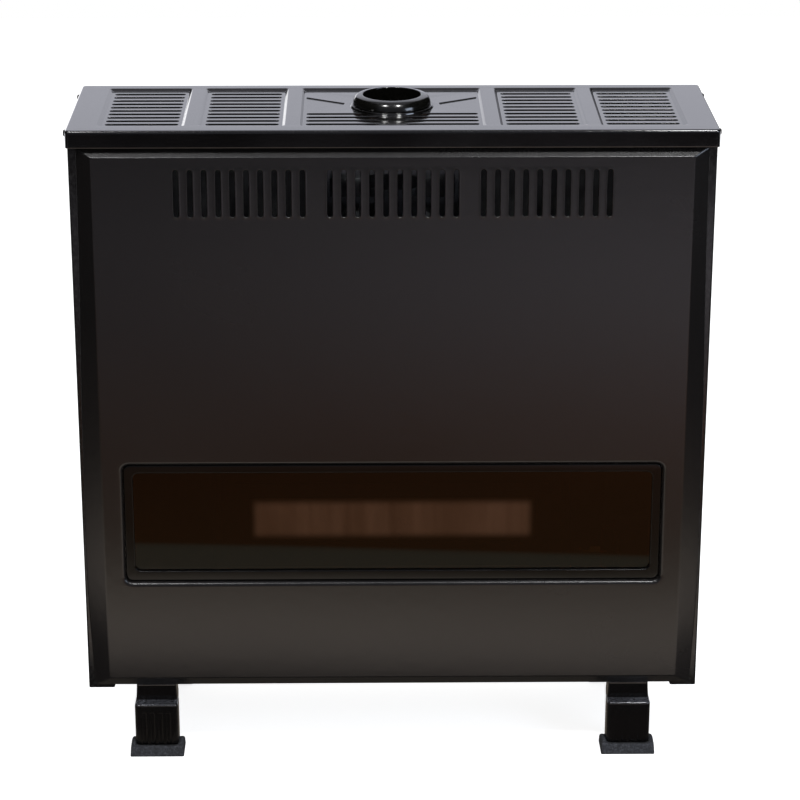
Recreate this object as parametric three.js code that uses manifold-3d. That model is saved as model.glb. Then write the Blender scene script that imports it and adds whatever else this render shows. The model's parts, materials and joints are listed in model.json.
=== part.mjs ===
// A wall mounted gas heater on four short legs, in millimetres.
// X runs across the width, Y from front to back, Z up from the floor.
// Inside this file y = 0 is the front plane of the side panels' flanges; the last lines centre the depth.
import * as THREE from "three";
import { mergeVertices } from "three/addons/utils/BufferGeometryUtils.js";
import Module from "manifold-3d";

const wasm = await Module();
wasm.setup();

// ---------- clearances and facets ----------
const sheet = 1.2; // casing steel
const plate = 2; // heavier steel of brackets and supports
const gap = 0.3; // clearance between pieces that touch
const past = 2; // how far a cutting shape runs past what it cuts
const bite = 0.1; // how far fused shapes run into each other
const facets = { hexagon: 6, shank: 8, small: 10, pipe: 12, hole: 16, rod: 20, large: 24, collar: 40 };

// ---------- casing ----------
const casing = { half: 400, depth: 227, bottom: 94, top: 850 };
const cover = { half: 401.5, front: -12, skirt: 22, corner: 5, edge: 3, screwRows: [22, 204], screwDrop: 11 };
const louvre = {
  groups: 6,
  groupPitch: 124,
  rowPitch: 17.4,
  firstRow: 31,
  length: 90.5,
  width: 8,
  rows: 10,
  shortRows: 4, // of the two groups in front of the collar
};
const pocket = { half: 53, centralHalf: 113, front: 14, back: 208, depth: 3, slope: 3, corner: 4 };
const rib = { outer: [110, 168], inner: [60, 136], width: 4, sunk: 0.2, height: 1.6 };
const collar = {
  y: 123,
  mouth: 38.2,
  base: 49.8,
  height: 13,
  wall: 1.7,
  tubeBottom: 812,
  land: 2, // flat ring of the cover around the base
  upright: 4.5, // height of the straight rim above the base
  shoulder: 4.3, // where the slope to the mouth starts, in from the base and up
  shoulderHeight: 10.2,
  lip: 3.4,
  lipFall: 0.7,
};
const flange = { front: 34, lip: 9, rear: 18, bend: 3 };
const floorPan = { z: 102, front: 10, upstand: 20, half: 398.5, back: 224, corner: 5 };
const floorSlots = { perRow: 7, pitch: 60, length: 44, width: 8, rows: [90, 140] };
const rear = { half: 398, bottom: 97, corner: 4 };
const rearSlots = { perRow: 9, pitch: 60, length: 40, width: 8, rows: [150, 640] };
const bracket = {
  x: 280,
  width: 60,
  height: 84,
  z: 712,
  foot: 14,
  reach: 20, // from the back plate to the wall
  keyRound: 7,
  keySlot: 3.5,
  keyHeight: 20,
};
const screw = { head: 4.5, headHeight: 2.2, tallHead: 4.5, shank: 1.9, hole: 2.4, length: 10, short: 5.5 };

// ---------- front panel and window ----------
const panel = {
  bottom: 99,
  top: 827,
  fieldBottom: 113,
  fieldTop: 816,
  fieldHalf: 371,
  out: 12,
  rim: 2,
  turnIn: 12,
  corner: 9,
  fieldCorner: 2,
  screwX: 383,
  screwZ: 150,
};
// Half widths of the panel's bowed outer edge, each at its height above the floor.
const panelBow = [
  [391, 120],
  [395, 190],
  [397, 295],
  [395, 495],
  [390, 818],
];
const bowSteps = 8;
const vent = { groups: 3, groupPitch: 189.4, pitch: 17.3, perGroup: 10, width: 7.1, bottom: 739.7, top: 801 };
const opening = { half: 345.5, bottom: 249, top: 411, roll: 6, corner: 9 };
const sightFrame = { sunk: 5, clear: 0.8, bevel: 1.6, splay: 2.4 };
const sight = { half: 333, bottom: 263, top: 399, corner: 10 };
const glass = { half: 341, bottom: 255, top: 407, thick: 4, front: -2.7, corner: 6 };
const seal = { width: 9, thick: 2, corner: 4 };
const retainer = { reach: 14, lap: 10 };

// ---------- legs ----------
const leg = {
  x: 312,
  width: 57,
  neckWidth: 52,
  neckFoot: 6,
  face: -8,
  depth: 30,
  ledge: 72,
  ledgeDepth: 15,
  ledgeRound: 5,
  corner: 5,
  wall: 3,
};
const flute = { count: 4, pitch: 10.5, radius: 4, depth: 1.4, clearOfLedge: 11, underShoe: 2 };
const shoe = {
  width: 71,
  depth: 43,
  height: 18,
  toe: 14,
  toeRise: 1.5,
  toeRun: 8,
  peak: 5,
  heel: 9,
  out: 17,
  wall: 4,
  corner: 5,
  foot: 2,
  tuck: 0.8,
  lean: 0.33, // how far the toe leans back for each millimetre of height
  sideLean: 0.06,
};
const bolt = { hole: 3.4, shank: 2.9, head: 6, headHeight: 4, length: 13 };

// ---------- combustion chamber and flue way ----------
const chamber = {
  half: 235,
  front: 45,
  back: 185,
  bottom: 180,
  shoulder: 560,
  neck: 680,
  top: 700,
  wall: 1.5,
  corner: 12,
  neckHalf: 62,
  neckDepth: 48,
};
const pane = { half: 186, bottom: 286, top: 346, lap: 9, thick: 3, corner: 6, rim: 20, rimDepth: 4, screw: 3.5 };
const flueDuct = { radius: 42, bore: 40.6, top: 748, flange: 10 };
const diverter = { half: 95, depth: 58, bottom: 736, aboveTube: 8, inset: 16, windowFrom: 8, windowTo: 38 };
const shield = { half: 290, front: 196, bottom: 130, top: 780 };

// ---------- burner and pilot ----------
const burner = {
  half: 200,
  y: 115,
  z: 235,
  radius: 25,
  wall: 1.6,
  ports: 24,
  portRun: 360,
  portWidth: 3,
  portDepth: 6,
};
const venturi = { collarLength: 4, taperAt: 14, taper: 14, throatAt: 26, throat: 12, mouth: 19, reach: 17, wall: 2 };
const injector = { x: 256, nozzle: 4, nozzleLength: 9, body: 9, bodyLength: 14, jet: 1 };
const burnerStand = { x: 186, half: 30, foot: 18 };
const chamberStand = { x: 223, front: 55, back: 175, foot: 14, wayBack: 110, wayBottom: 14, wayTop: 18 };
const pilot = { x: 150, y: 72, z: 218, spread: 16, radius: 5, height: 20, nut: 7, nutDrop: 12 };
const pilotPlate = { drop: 20, half: 10, left: 24, right: 35.7, hole: 4.5, armBack: 26, armTop: 2 };
const thermocouple = { level: 130, lead: 1.4, probe: 3, above: 30, below: 10 };
const electrode = { level: 150, body: 3.6, above: 14, below: 34, wire: 1.2, tip: 28, tail: 40, lead: 1.8 };
const pilotFeed = { level: 140, radius: 2 };

// ---------- gas valve and controls ----------
const valve = { x: 328, y: 115, z: 245, width: 52, depth: 54, height: 66, boss: 12, bossReach: 8, seat: 14 };
const well = { front: 75, back: 210, bottom: 190, top: 300, floor: 362, corner: 3, lip: 12, lipCorner: 4 };
const knob = {
  radius: 22,
  skirt: 8,
  grip: 18,
  length: 24,
  start: 367.5,
  push: 4,
  ribs: 20,
  ribDepth: 1,
  spindle: 4,
  spindleFlat: 2.6,
  spindleShort: 8, // from the knob's face to the spindle's end
  pointer: 2.4,
  pointerFrom: 4,
  pointerHigh: 0.8,
};
const igniter = { y: 187, radius: 9, flange: 3, length: 42, socket: 22, button: 7.2, buttonLength: 14, travel: 7 };
const inlet = { x: 328, y: 160, radius: 8, wall: 1.5, bottom: 64, nut: 15.6, nutHeight: 20, engaged: 6 };
const feed = { x: 294, level: 186, radius: 4 };
const valveStand = { front: 12, back: 26, above: 20, foot: 20, wayFrom: 4, wayTo: 20, wayBottom: 56, wayTop: 12 };

// ---------- colours: hex colour, roughness, metalness ----------
const finish = {
  enamel: [0x1a1412, 0.18, 0.0],
  satin: [0x2a2422, 0.35, 0.0],
  gloss: [0x0c0c0d, 0.15, 0.0],
  rubber: [0x2b2c2f, 0.9, 0.0],
  glass: [0x2a1a10, 0.05, 0.0],
  mica: [0xb9a58c, 0.2, 0.0],
  steel: [0x8f9194, 0.45, 1.0],
  inner: [0x3a3c3e, 0.6, 0.6],
  brass: [0xb08d4a, 0.35, 1.0],
  copper: [0xb87348, 0.35, 1.0],
  plastic: [0x141414, 0.4, 0.0],
  red: [0x9a1f1a, 0.4, 0.0],
  ceramic: [0xe8e4da, 0.5, 0.0],
  fibre: [0xcfc9bd, 0.95, 0.0],
};

// ---------- flat outlines ----------
const fullTurn = Math.PI * 2;
const quarterTurn = Math.PI / 2;

// Evenly spaced places about zero.
const spaced = (count, pitch) => Array.from({ length: count }, (_, i) => (i - (count - 1) / 2) * pitch);

const polygon = (points) => new THREE.Shape(points.map(([x, y]) => new THREE.Vector2(x, y)));

const arcPoints = (cx, cy, r, from, steps) =>
  Array.from({ length: steps + 1 }, (_, i) => {
    const angle = from + (i / steps) * quarterTurn;
    return new THREE.Vector2(cx + r * Math.cos(angle), cy + r * Math.sin(angle));
  });

// The points of a rounded rectangle, counterclockwise from its lower right corner.
const rectPoints = (x0, y0, x1, y1, r, steps = 2) => [
  ...arcPoints(x1 - r, y0 + r, r, -quarterTurn, steps),
  ...arcPoints(x1 - r, y1 - r, r, 0, steps),
  ...arcPoints(x0 + r, y1 - r, r, quarterTurn, steps),
  ...arcPoints(x0 + r, y0 + r, r, quarterTurn * 2, steps),
];

const roundedRect = (...corners) => new THREE.Shape(rectPoints(...corners));

// A slot with blunt ends, between two corners; it runs along its longer side.
function slot(x0, y0, x1, y1) {
  const blunt = 0.6; // how far the ends are cut back, as a share of the half width
  const upright = y1 - y0 > x1 - x0;
  const [cx, cy] = [(x0 + x1) / 2, (y0 + y1) / 2];
  const half = Math.max(x1 - x0, y1 - y0) / 2;
  const wide = Math.min(x1 - x0, y1 - y0) / 2;
  const corner = [
    [half, wide * (1 - blunt)],
    [half - wide * blunt, wide],
  ];
  const round = [
    ...corner,
    ...corner.map(([along, across]) => [-along, across]).reverse(),
    ...corner.map(([along, across]) => [-along, -across]),
    ...corner.map(([along, across]) => [along, -across]).reverse(),
  ];
  return polygon(round.map(([along, across]) => (upright ? [cx - across, cy + along] : [cx + along, cy + across])));
}

// Rows of slots that lie along X, centred on x = 0.
const slotRows = ({ perRow, pitch, length, width, rows }) =>
  rows.flatMap((across) =>
    spaced(perRow, pitch).map((x) => slot(x - length / 2, across - width / 2, x + length / 2, across + width / 2)),
  );

// A flat picture frame: its outer corners and the width of its band.
function band(half, bottom, top, wide, outerCorner, innerCorner) {
  const shape = roundedRect(-half, bottom, half, top, outerCorner);
  shape.holes.push(roundedRect(-half + wide, bottom + wide, half - wide, top - wide, innerCorner));
  return shape;
}

// ---------- solids ----------
function solid(geometry) {
  const bare = geometry.clone();
  bare.deleteAttribute("normal");
  bare.deleteAttribute("uv");
  const merged = mergeVertices(bare, 1e-4);
  return new wasm.Manifold(
    new wasm.Mesh({
      numProp: 3,
      vertProperties: merged.attributes.position.array,
      triVerts: new Uint32Array(merged.index.array),
    }),
  );
}

function geometryOf(body) {
  const mesh = body.getMesh();
  const geometry = new THREE.BufferGeometry();
  geometry.setAttribute("position", new THREE.BufferAttribute(mesh.vertProperties, 3));
  geometry.setIndex(new THREE.BufferAttribute(mesh.triVerts, 1));
  geometry.computeVertexNormals();
  return geometry;
}

const joined = (bodies) => bodies.reduce((all, body) => all.add(body));
const without = (body, cuts) => cuts.reduce((left, cut) => left.subtract(cut), body);
const mirrored = (body) => body.mirror([1, 0, 0]);

// A block between two corners.
function block(x0, y0, z0, x1, y1, z1) {
  const geometry = new THREE.BoxGeometry(x1 - x0, y1 - y0, z1 - z0);
  return solid(geometry.translate((x0 + x1) / 2, (y0 + y1) / 2, (z0 + z1) / 2));
}

const extruded = (shape, depth, sides = facets.rod) =>
  new THREE.ExtrudeGeometry(shape, { depth, bevelEnabled: false, curveSegments: sides / 2 });

// Plates cut from a flat outline: facing the front (outline in X, Z), lying flat (X, Y) or on the side (Y, Z).
const frontPlate = (shape, y0, y1) => solid(extruded(shape, y1 - y0).rotateX(quarterTurn).translate(0, y1, 0));

const flatPlate = (shape, z0, z1) => solid(extruded(shape, z1 - z0).translate(0, 0, z0));

function sidePlate(shape, x0, x1) {
  const turn = new THREE.Matrix4().makeBasis(
    new THREE.Vector3(0, 1, 0),
    new THREE.Vector3(0, 0, 1),
    new THREE.Vector3(1, 0, 0),
  );
  return solid(extruded(shape, x1 - x0).applyMatrix4(turn).translate(x0, 0, 0));
}

function ringShape(radius, bore) {
  const ring = new THREE.Shape().absarc(0, 0, radius, 0, fullTurn);
  if (bore) ring.holes.push(new THREE.Path().absarc(0, 0, bore, 0, fullTurn, true));
  return ring;
}

// A round bar or, with a bore, a pipe along X, Y or Z; at gives its place on the other two axes.
function bar(axis, radius, from, to, at, sides, bore = 0) {
  const geometry = extruded(ringShape(radius, bore), to - from, sides);
  if (axis === "z") return solid(geometry.translate(at[0], at[1], from));
  if (axis === "y") return solid(geometry.rotateX(quarterTurn).translate(at[0], to, at[1]));
  return solid(geometry.rotateY(quarterTurn).translate(from, at[0], at[1]));
}

// A solid of revolution about the vertical axis through (x, y).
const turned = (profile, x, y, sides) =>
  solid(
    new THREE.LatheGeometry(
      profile.map(([r, z]) => new THREE.Vector2(r, z)),
      sides,
    )
      .rotateX(quarterTurn)
      .translate(x, y, 0),
  );

// A closed stack of rings of equal count; the rings run counterclockwise and their heights rise.
function stack(rings) {
  const count = rings[0].points.length;
  const position = rings.flatMap(({ points, height }) => points.flatMap((p) => [p.x, p.y, height]));
  const index = [];
  for (let r = 0; r + 1 < rings.length; r++) {
    for (let i = 0; i < count; i++) {
      const a = r * count + i;
      const b = r * count + ((i + 1) % count);
      index.push(a, b, b + count, a, b + count, a + count);
    }
  }
  const lid = count * (rings.length - 1);
  for (const [a, b, c] of THREE.ShapeUtils.triangulateShape(rings[0].points, [])) {
    index.push(a, c, b);
  }
  for (const [a, b, c] of THREE.ShapeUtils.triangulateShape(rings.at(-1).points, [])) {
    index.push(lid + a, lid + b, lid + c);
  }
  const geometry = new THREE.BufferGeometry();
  geometry.setAttribute("position", new THREE.BufferAttribute(new Float32Array(position), 3));
  geometry.setIndex(index);
  return geometry;
}

const rectRing = (x0, y0, x1, y1, r, height, steps = 2) => ({
  points: rectPoints(x0, y0, x1, y1, Math.max(r, bite), steps),
  height,
});

// The steps of a rounded edge, each as [in from the wall, down from the face].
const roundedEdge = (radius, steps) =>
  Array.from({ length: steps + 1 }, (_, i) => {
    const angle = (i / steps) * quarterTurn;
    return [radius * (1 - Math.cos(angle)), radius * (1 - Math.sin(angle))];
  });

// A stack whose heights run out to the front of the heater.
const facingFront = (rings) => solid(stack(rings).rotateX(quarterTurn));

// A tube along a route of straight runs joined by rounded bends.
function tube(route, radius, bend, sides, bore = 0) {
  const stepsPerRadius = 2.5;
  const mostSteps = 44;
  const points = route.map((p) => new THREE.Vector3(...p));
  const path = new THREE.CurvePath();
  let last = points[0];
  for (let i = 1; i + 1 < points.length; i++) {
    const corner = points[i];
    const back = corner.clone().add(points[i - 1].clone().sub(corner).setLength(bend));
    const ahead = corner.clone().add(points[i + 1].clone().sub(corner).setLength(bend));
    path.add(new THREE.LineCurve3(last, back));
    path.add(new THREE.QuadraticBezierCurve3(back, corner, ahead));
    last = ahead;
  }
  path.add(new THREE.LineCurve3(last, points.at(-1)));
  const steps = Math.min(mostSteps, Math.ceil(path.getLength() / (radius * stepsPerRadius)));
  const options = { steps, extrudePath: path, curveSegments: sides / 2, bevelEnabled: false };
  return solid(new THREE.ExtrudeGeometry(ringShape(radius, bore), options));
}

// A screw whose shank runs back along the axis from under its head.
function screwBody(axis, headFrom, at, length, headHeight = screw.headHeight) {
  return joined([
    bar(axis, screw.head, headFrom, headFrom + headHeight, at, facets.pipe),
    bar(axis, screw.shank, headFrom - length, headFrom + bite, at, facets.shank),
  ]);
}

// ---------- scene graph ----------
const heater = new THREE.Group();

function place(name, body, [color, roughness, metalness]) {
  const material = new THREE.MeshStandardMaterial({ color, roughness, metalness });
  const mesh = new THREE.Mesh(geometryOf(body), material);
  mesh.name = name;
  heater.add(mesh);
}

const sides = [
  ["left", -1],
  ["right", 1],
];
const onSide = (body, sign) => (sign < 0 ? mirrored(body) : body);

function placeBoth(name, body, look) {
  for (const [side, sign] of sides) place(`${name}_${side}`, onSide(body, sign), look);
}

// ---------- top cover ----------
const coverScrewLevel = casing.top - cover.screwDrop;

function coverRing(inset, height) {
  const half = cover.half - inset;
  return rectRing(-half, cover.front + inset, half, casing.depth - inset, cover.corner - inset, height);
}

function coverShell(inset, top) {
  const lowest = casing.top - cover.skirt - (inset ? past : 0);
  const edge = roundedEdge(cover.edge, 2).map(([inwards, down]) => coverRing(inset + inwards, top - down));
  return solid(stack([coverRing(inset, lowest), ...edge]));
}

// The shallow pressed field that a group of louvres stands in.
function pressedPocket(x, half, grow) {
  const ring = (inset, height) =>
    rectRing(x - half + inset, pocket.front + inset, x + half - inset, pocket.back - inset, pocket.corner, height);
  return solid(
    stack([
      ring(pocket.slope - grow, casing.top - pocket.depth - grow),
      ring(-grow, casing.top),
      ring(-grow, casing.top + past),
    ]),
  );
}

function louvreSlots() {
  const rows = (x) => (Math.abs(x) < louvre.groupPitch ? louvre.shortRows : louvre.rows);
  const [along, across] = [louvre.length / 2, louvre.width / 2];
  const lowest = casing.top - pocket.depth - sheet - past;
  return spaced(louvre.groups, louvre.groupPitch).flatMap((x) =>
    Array.from({ length: rows(x) }, (_, row) => {
      const y = louvre.firstRow + row * louvre.rowPitch;
      return flatPlate(slot(x - along, y - across, x + along, y + across), lowest, casing.top + past);
    }),
  );
}

// A low rib pressed into the central field, beside the collar.
function pressedRib() {
  const start = new THREE.Vector2(...rib.outer);
  const end = new THREE.Vector2(...rib.inner);
  const body = block(0, -rib.width / 2, -rib.sunk, start.distanceTo(end), rib.width / 2, rib.height - rib.sunk);
  const turn = THREE.MathUtils.radToDeg(end.clone().sub(start).angle());
  return body.rotate([0, 0, turn]).translate([start.x, start.y, casing.top - pocket.depth]);
}

function topCover() {
  const bays = spaced(louvre.groups, louvre.groupPitch)
    .filter((x) => Math.abs(x) > louvre.groupPitch)
    .map((x) => [x, pocket.half]);
  bays.push([0, pocket.centralHalf]);
  const pressed = (grow) => bays.map(([x, half]) => pressedPocket(x, half, grow));
  const outer = without(coverShell(0, casing.top), pressed(0));
  const inner = without(coverShell(sheet, casing.top - sheet), pressed(sheet));
  const atCollar = [0, collar.y];
  const underside = casing.top - pocket.depth - sheet;
  const land = bar("z", collar.base + collar.land, underside, casing.top, atCollar, facets.large);
  const way = bar("z", collar.mouth + gap * 2, underside - past, casing.top + past, atCollar, facets.large);
  const screwHole = (y) =>
    bar("x", screw.hole, cover.half - sheet - past, cover.half + past, [y, coverScrewLevel], facets.shank);
  const screwHoles = cover.screwRows.flatMap((y) => [screwHole(y), mirrored(screwHole(y))]);
  const shell = joined([outer.subtract(inner), land, pressedRib(), mirrored(pressedRib())]);
  return without(shell, [...louvreSlots(), way, ...screwHoles]);
}
place("top_cover", topCover(), finish.enamel);

for (const [side, sign] of sides) {
  cover.screwRows.forEach((y, row) => {
    const body = screwBody("x", cover.half + gap, [y, coverScrewLevel], screw.length, screw.tallHead);
    place(`cover_screw_${side}_${row + 1}`, onSide(body, sign), finish.inner);
  });
}

// ---------- flue collar ----------
function flueCollar() {
  const { mouth, base, wall, tubeBottom, upright, shoulder, shoulderHeight, lip, lipFall, y } = collar;
  const foot = casing.top + gap;
  const top = casing.top + collar.height;
  const bore = mouth - wall;
  const profile = [
    [bore, tubeBottom],
    [mouth, tubeBottom],
    [mouth, foot],
    [base, foot],
    [base, foot + upright],
    [base - shoulder, foot + shoulderHeight],
    [mouth + lip, top - lipFall],
    [mouth, top],
    [bore, top],
    [bore, tubeBottom],
  ];
  return turned(profile, 0, y, facets.collar);
}
place("flue_collar", flueCollar(), finish.gloss);

// ---------- casing ----------
const sideTop = casing.top - cover.edge - sheet - gap;
const sideDepth = casing.depth - sheet - gap;
const mitre = 2 - Math.SQRT2; // what a chamfer's legs lose for each millimetre of wall

function sidePanel(sign) {
  const outer = casing.half;
  const inner = outer - sheet;
  const frontEnd = outer - flange.front;
  const rearEnd = outer - flange.rear;
  const bend = flange.bend;
  const innerBend = bend - sheet * mitre;
  const outline = polygon([
    [frontEnd, 0],
    [outer - bend, 0],
    [outer, bend],
    [outer, sideDepth - bend],
    [outer - bend, sideDepth],
    [rearEnd, sideDepth],
    [rearEnd, sideDepth - sheet],
    [inner - innerBend, sideDepth - sheet],
    [inner, sideDepth - sheet - innerBend],
    [inner, sheet + innerBend],
    [inner - innerBend, sheet],
    [frontEnd + sheet, sheet],
    [frontEnd + sheet, flange.lip],
    [frontEnd, flange.lip],
  ]);
  const [from, to] = [inner - past, outer + past];
  const cuts = [
    ...cover.screwRows.map((y) => bar("x", screw.hole, from, to, [y, coverScrewLevel], facets.shank)),
    bar("y", screw.hole, -past, sheet + past, [panel.screwX, panel.screwZ], facets.shank),
  ];
  if (sign > 0) {
    cuts.push(sidePlate(roundedRect(well.front, well.bottom, well.back, well.top, well.corner), from, to));
  }
  return onSide(without(flatPlate(outline, casing.bottom, sideTop), cuts), sign);
}
for (const [side, sign] of sides) place(`side_panel_${side}`, sidePanel(sign), finish.satin);

// Where each leg's bolt goes through the base pan.
const boltY = leg.face + leg.depth;
const legPlaces = [
  { name: "front_left", x: -leg.x, y: boltY, turn: false },
  { name: "front_right", x: leg.x, y: boltY, turn: false },
  { name: "rear_left", x: -leg.x, y: casing.depth - boltY, turn: true },
  { name: "rear_right", x: leg.x, y: casing.depth - boltY, turn: true },
];

function basePan() {
  const { z, front, back, half, upstand, corner } = floorPan;
  const outside = flatPlate(roundedRect(-half, front, half, back, corner), z, z + upstand);
  const inside = roundedRect(-half + sheet, front + sheet, half - sheet, back - sheet, corner - sheet);
  const tray = outside.subtract(flatPlate(inside, z + sheet, z + upstand + past));
  const [from, to] = [z - past, z + sheet + past];
  const airSlots = slotRows(floorSlots).map((shape) => flatPlate(shape, from, to));
  const boltHoles = legPlaces.map(({ x, y }) => bar("z", bolt.hole, from, to, [x, y], facets.shank));
  const pipeHole = bar("z", inlet.radius + plate, from, to, [inlet.x, inlet.y], facets.small);
  return without(tray, [...airSlots, ...boltHoles, pipeHole]);
}
place("base_pan", basePan(), finish.inner);

function backPlate() {
  const top = casing.top - cover.skirt - gap;
  const shape = roundedRect(-rear.half, rear.bottom, rear.half, top, rear.corner);
  shape.holes.push(...slotRows(rearSlots));
  return frontPlate(shape, casing.depth - sheet, casing.depth);
}
place("back_plate", backPlate(), finish.steel);

// A hat section that stands the heater off the wall, with a keyhole to hang it by.
function wallBracket() {
  const { width, height, z, foot, reach, keyRound, keySlot, keyHeight } = bracket;
  const half = width / 2;
  const near = casing.depth + gap;
  const far = casing.depth + reach;
  const outline = polygon([
    [-half - foot, near],
    [-half + plate, near],
    [-half + plate, far - plate],
    [half - plate, far - plate],
    [half - plate, near],
    [half + foot, near],
    [half + foot, near + plate],
    [half, near + plate],
    [half, far],
    [-half, far],
    [-half, near + plate],
    [-half - foot, near + plate],
  ]);
  const middle = z + height / 2;
  const [from, to] = [far - plate - past, far + past];
  const key = joined([
    bar("y", keyRound, from, to, [0, middle], facets.small),
    frontPlate(roundedRect(-keySlot, middle, keySlot, middle + keyHeight, keySlot - gap), from, to),
  ]);
  return flatPlate(outline, z, z + height).subtract(key);
}
for (const [side, sign] of sides) {
  place(`wall_bracket_${side}`, wallBracket().translate([sign * bracket.x, 0, 0]), finish.steel);
}

// ---------- front panel ----------
const bowLine = new THREE.SplineCurve(panelBow.map(([x, z]) => new THREE.Vector2(x, z))).getPoints(bowSteps);

// One closed ring of the panel: its right side runs up between a bottom and a top corner.
function panelRing(sidePoints, bottom, top, corner, height) {
  const right = [
    ...arcPoints(sidePoints[0].x - corner, bottom + corner, corner, -quarterTurn, 3),
    ...sidePoints.slice(1, -1),
    ...arcPoints(sidePoints.at(-1).x - corner, top - corner, corner, 0, 2),
  ];
  const left = right.map((p) => new THREE.Vector2(-p.x, p.y)).reverse();
  return { points: [...right, ...left], height };
}

function outerRing(inset, height) {
  const side = bowLine.map((p) => new THREE.Vector2(p.x - inset, p.y));
  return panelRing(side, panel.bottom + inset, panel.top - inset, panel.corner, height);
}

function fieldRing(inset, height) {
  const side = bowLine.map((p) => new THREE.Vector2(panel.fieldHalf - inset, p.y));
  return panelRing(side, panel.fieldBottom + inset, panel.fieldTop - inset, panel.fieldCorner, height);
}

const openingRing = (grow, height) =>
  rectRing(
    -opening.half - grow,
    opening.bottom - grow,
    opening.half + grow,
    opening.top + grow,
    opening.corner + grow,
    height,
    3,
  );

// The window's hole with its rolled edge, grown by a wall.
function rolledHole(grow) {
  const { out } = panel;
  const roll = roundedEdge(opening.roll, 3).map(([inwards, down]) => openingRing(grow + inwards, out - down));
  return facingFront([...roll, openingRing(grow + opening.roll, out + past)]);
}

function ventSlots() {
  const { groups, groupPitch, perGroup, pitch, width, bottom, top } = vent;
  const [from, to] = [-panel.out - past, -panel.out + sheet + past];
  return spaced(groups, groupPitch).flatMap((middle) =>
    spaced(perGroup, pitch).map((offset) => {
      const x = middle + offset;
      return frontPlate(slot(x - width / 2, bottom, x + width / 2, top), from, to);
    }),
  );
}

// A folded tray: bevelled sides, a flat field with vents and a window, and edges turned in behind.
function frontPanel() {
  const { out, rim, turnIn } = panel;
  const outer = facingFront([outerRing(0, gap), outerRing(0, rim), fieldRing(0, out)]);
  const inner = facingFront([
    outerRing(sheet, gap + sheet),
    outerRing(sheet, rim),
    fieldRing(sheet * mitre, out - sheet),
  ]);
  const backOpening = facingFront([outerRing(turnIn, gap - past), outerRing(turnIn, rim + bite)]);
  const shell = outer.subtract(inner).subtract(backOpening);
  const lip = rolledHole(sheet).intersect(outer).subtract(rolledHole(0));
  const hole = facingFront([openingRing(0, -past), openingRing(0, out + past)]);
  const screwHole = bar("y", screw.hole, -rim - past, 0, [panel.screwX, panel.screwZ], facets.shank);
  return without(shell.subtract(rolledHole(0)).add(lip), [hole, ...ventSlots(), screwHole, mirrored(screwHole)]);
}
place("front_panel", frontPanel(), finish.satin);

// The panel's top edge sits under the cover's skirt, and a screw behind each side flange holds its foot.
placeBoth("panel_screw", screwBody("y", sheet + gap, [panel.screwX, panel.screwZ], screw.short), finish.steel);

// ---------- window ----------
const sightRing = (grow, height) =>
  rectRing(-sight.half - grow, sight.bottom - grow, sight.half + grow, sight.top + grow, sight.corner, height, 3);

function windowFrame() {
  const { sunk, clear, bevel, splay } = sightFrame;
  const back = -glass.front + gap;
  const front = panel.out - sunk;
  const outer = facingFront([
    openingRing(-clear, back),
    openingRing(-clear, front - bevel),
    openingRing(-clear - bevel, front),
  ]);
  const hole = facingFront([sightRing(0, back - past), sightRing(0, front - bevel), sightRing(splay, front + gap)]);
  return outer.subtract(hole);
}
place("window_frame", windowFrame(), finish.gloss);

const glassBack = glass.front + glass.thick;
place(
  "window_glass",
  frontPlate(roundedRect(-glass.half, glass.bottom, glass.half, glass.top, glass.corner), glass.front, glassBack),
  finish.glass,
);

const sealFront = glassBack + gap;
const sealBack = sealFront + seal.thick;
place(
  "window_seal",
  frontPlate(band(glass.half, glass.bottom, glass.top, seal.width, glass.corner, seal.corner), sealFront, sealBack),
  finish.fibre,
);

// A folded frame behind the glass; its walls stand against the back of the front panel.
function glassRetainer() {
  const { reach, lap } = retainer;
  const half = glass.half + reach;
  const bottom = glass.bottom - reach;
  const top = glass.top + reach;
  const front = sealBack + gap;
  const frame = (wide) => band(half, bottom, top, wide, glass.corner, seal.corner);
  return frontPlate(frame(reach + lap), front, front + sheet).add(
    frontPlate(frame(sheet), -panel.out + sheet + gap, front + sheet),
  );
}
place("glass_retainer", glassRetainer(), finish.steel);

// ---------- legs ----------
// A leg is a channel open to the rear: a narrow neck under the casing, a ledge and a fluted lower half.
function legRing(inset, height) {
  const half = leg.width / 2 - inset;
  return rectRing(-half, leg.face + inset, half, leg.face + leg.depth, leg.corner, height);
}

function legChannel() {
  const { width, face, depth, ledge, ledgeRound, wall, corner } = leg;
  const bottom = shoe.wall + gap;
  const edge = roundedEdge(ledgeRound, 3).map(([inwards, down]) => legRing(inwards, ledge - down));
  const outside = solid(stack([legRing(0, bottom), ...edge]));
  const half = width / 2 - wall;
  const hollow = roundedRect(-half, face + wall, half, face + depth + corner, corner - wall);
  return outside.subtract(flatPlate(hollow, bottom - past, ledge - wall));
}

function legNeck() {
  const { width, neckWidth, neckFoot, ledge, ledgeDepth, ledgeRound, wall, depth, face } = leg;
  const front = face + ledgeDepth;
  const top = floorPan.z - gap;
  const half = width / 2 - wall / 2;
  const narrow = neckWidth / 2;
  const shape = polygon([
    [-half, ledge - ledgeRound],
    [half, ledge - ledgeRound],
    [half, ledge + neckFoot],
    [narrow, top],
    [-narrow, top],
    [-half, ledge + neckFoot],
  ]);
  const hollow = block(
    -narrow + wall,
    front + wall,
    ledge - ledgeRound - past,
    narrow - wall,
    front + depth + past,
    top - wall,
  );
  return frontPlate(shape, front, front + depth).subtract(hollow);
}

function legBody() {
  const top = floorPan.z - gap;
  const { count, pitch, radius, depth, clearOfLedge, underShoe } = flute;
  const fluteY = leg.face + depth - radius;
  const flutes = spaced(count, pitch).map((x) =>
    bar("z", radius, shoe.toe - underShoe, leg.ledge - clearOfLedge, [x, fluteY], facets.small),
  );
  const boltHole = bar("z", bolt.hole, top - leg.wall - past, top + past, [0, boltY], facets.shank);
  return without(legChannel().add(legNeck()), [...flutes, boltHole]);
}

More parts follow.
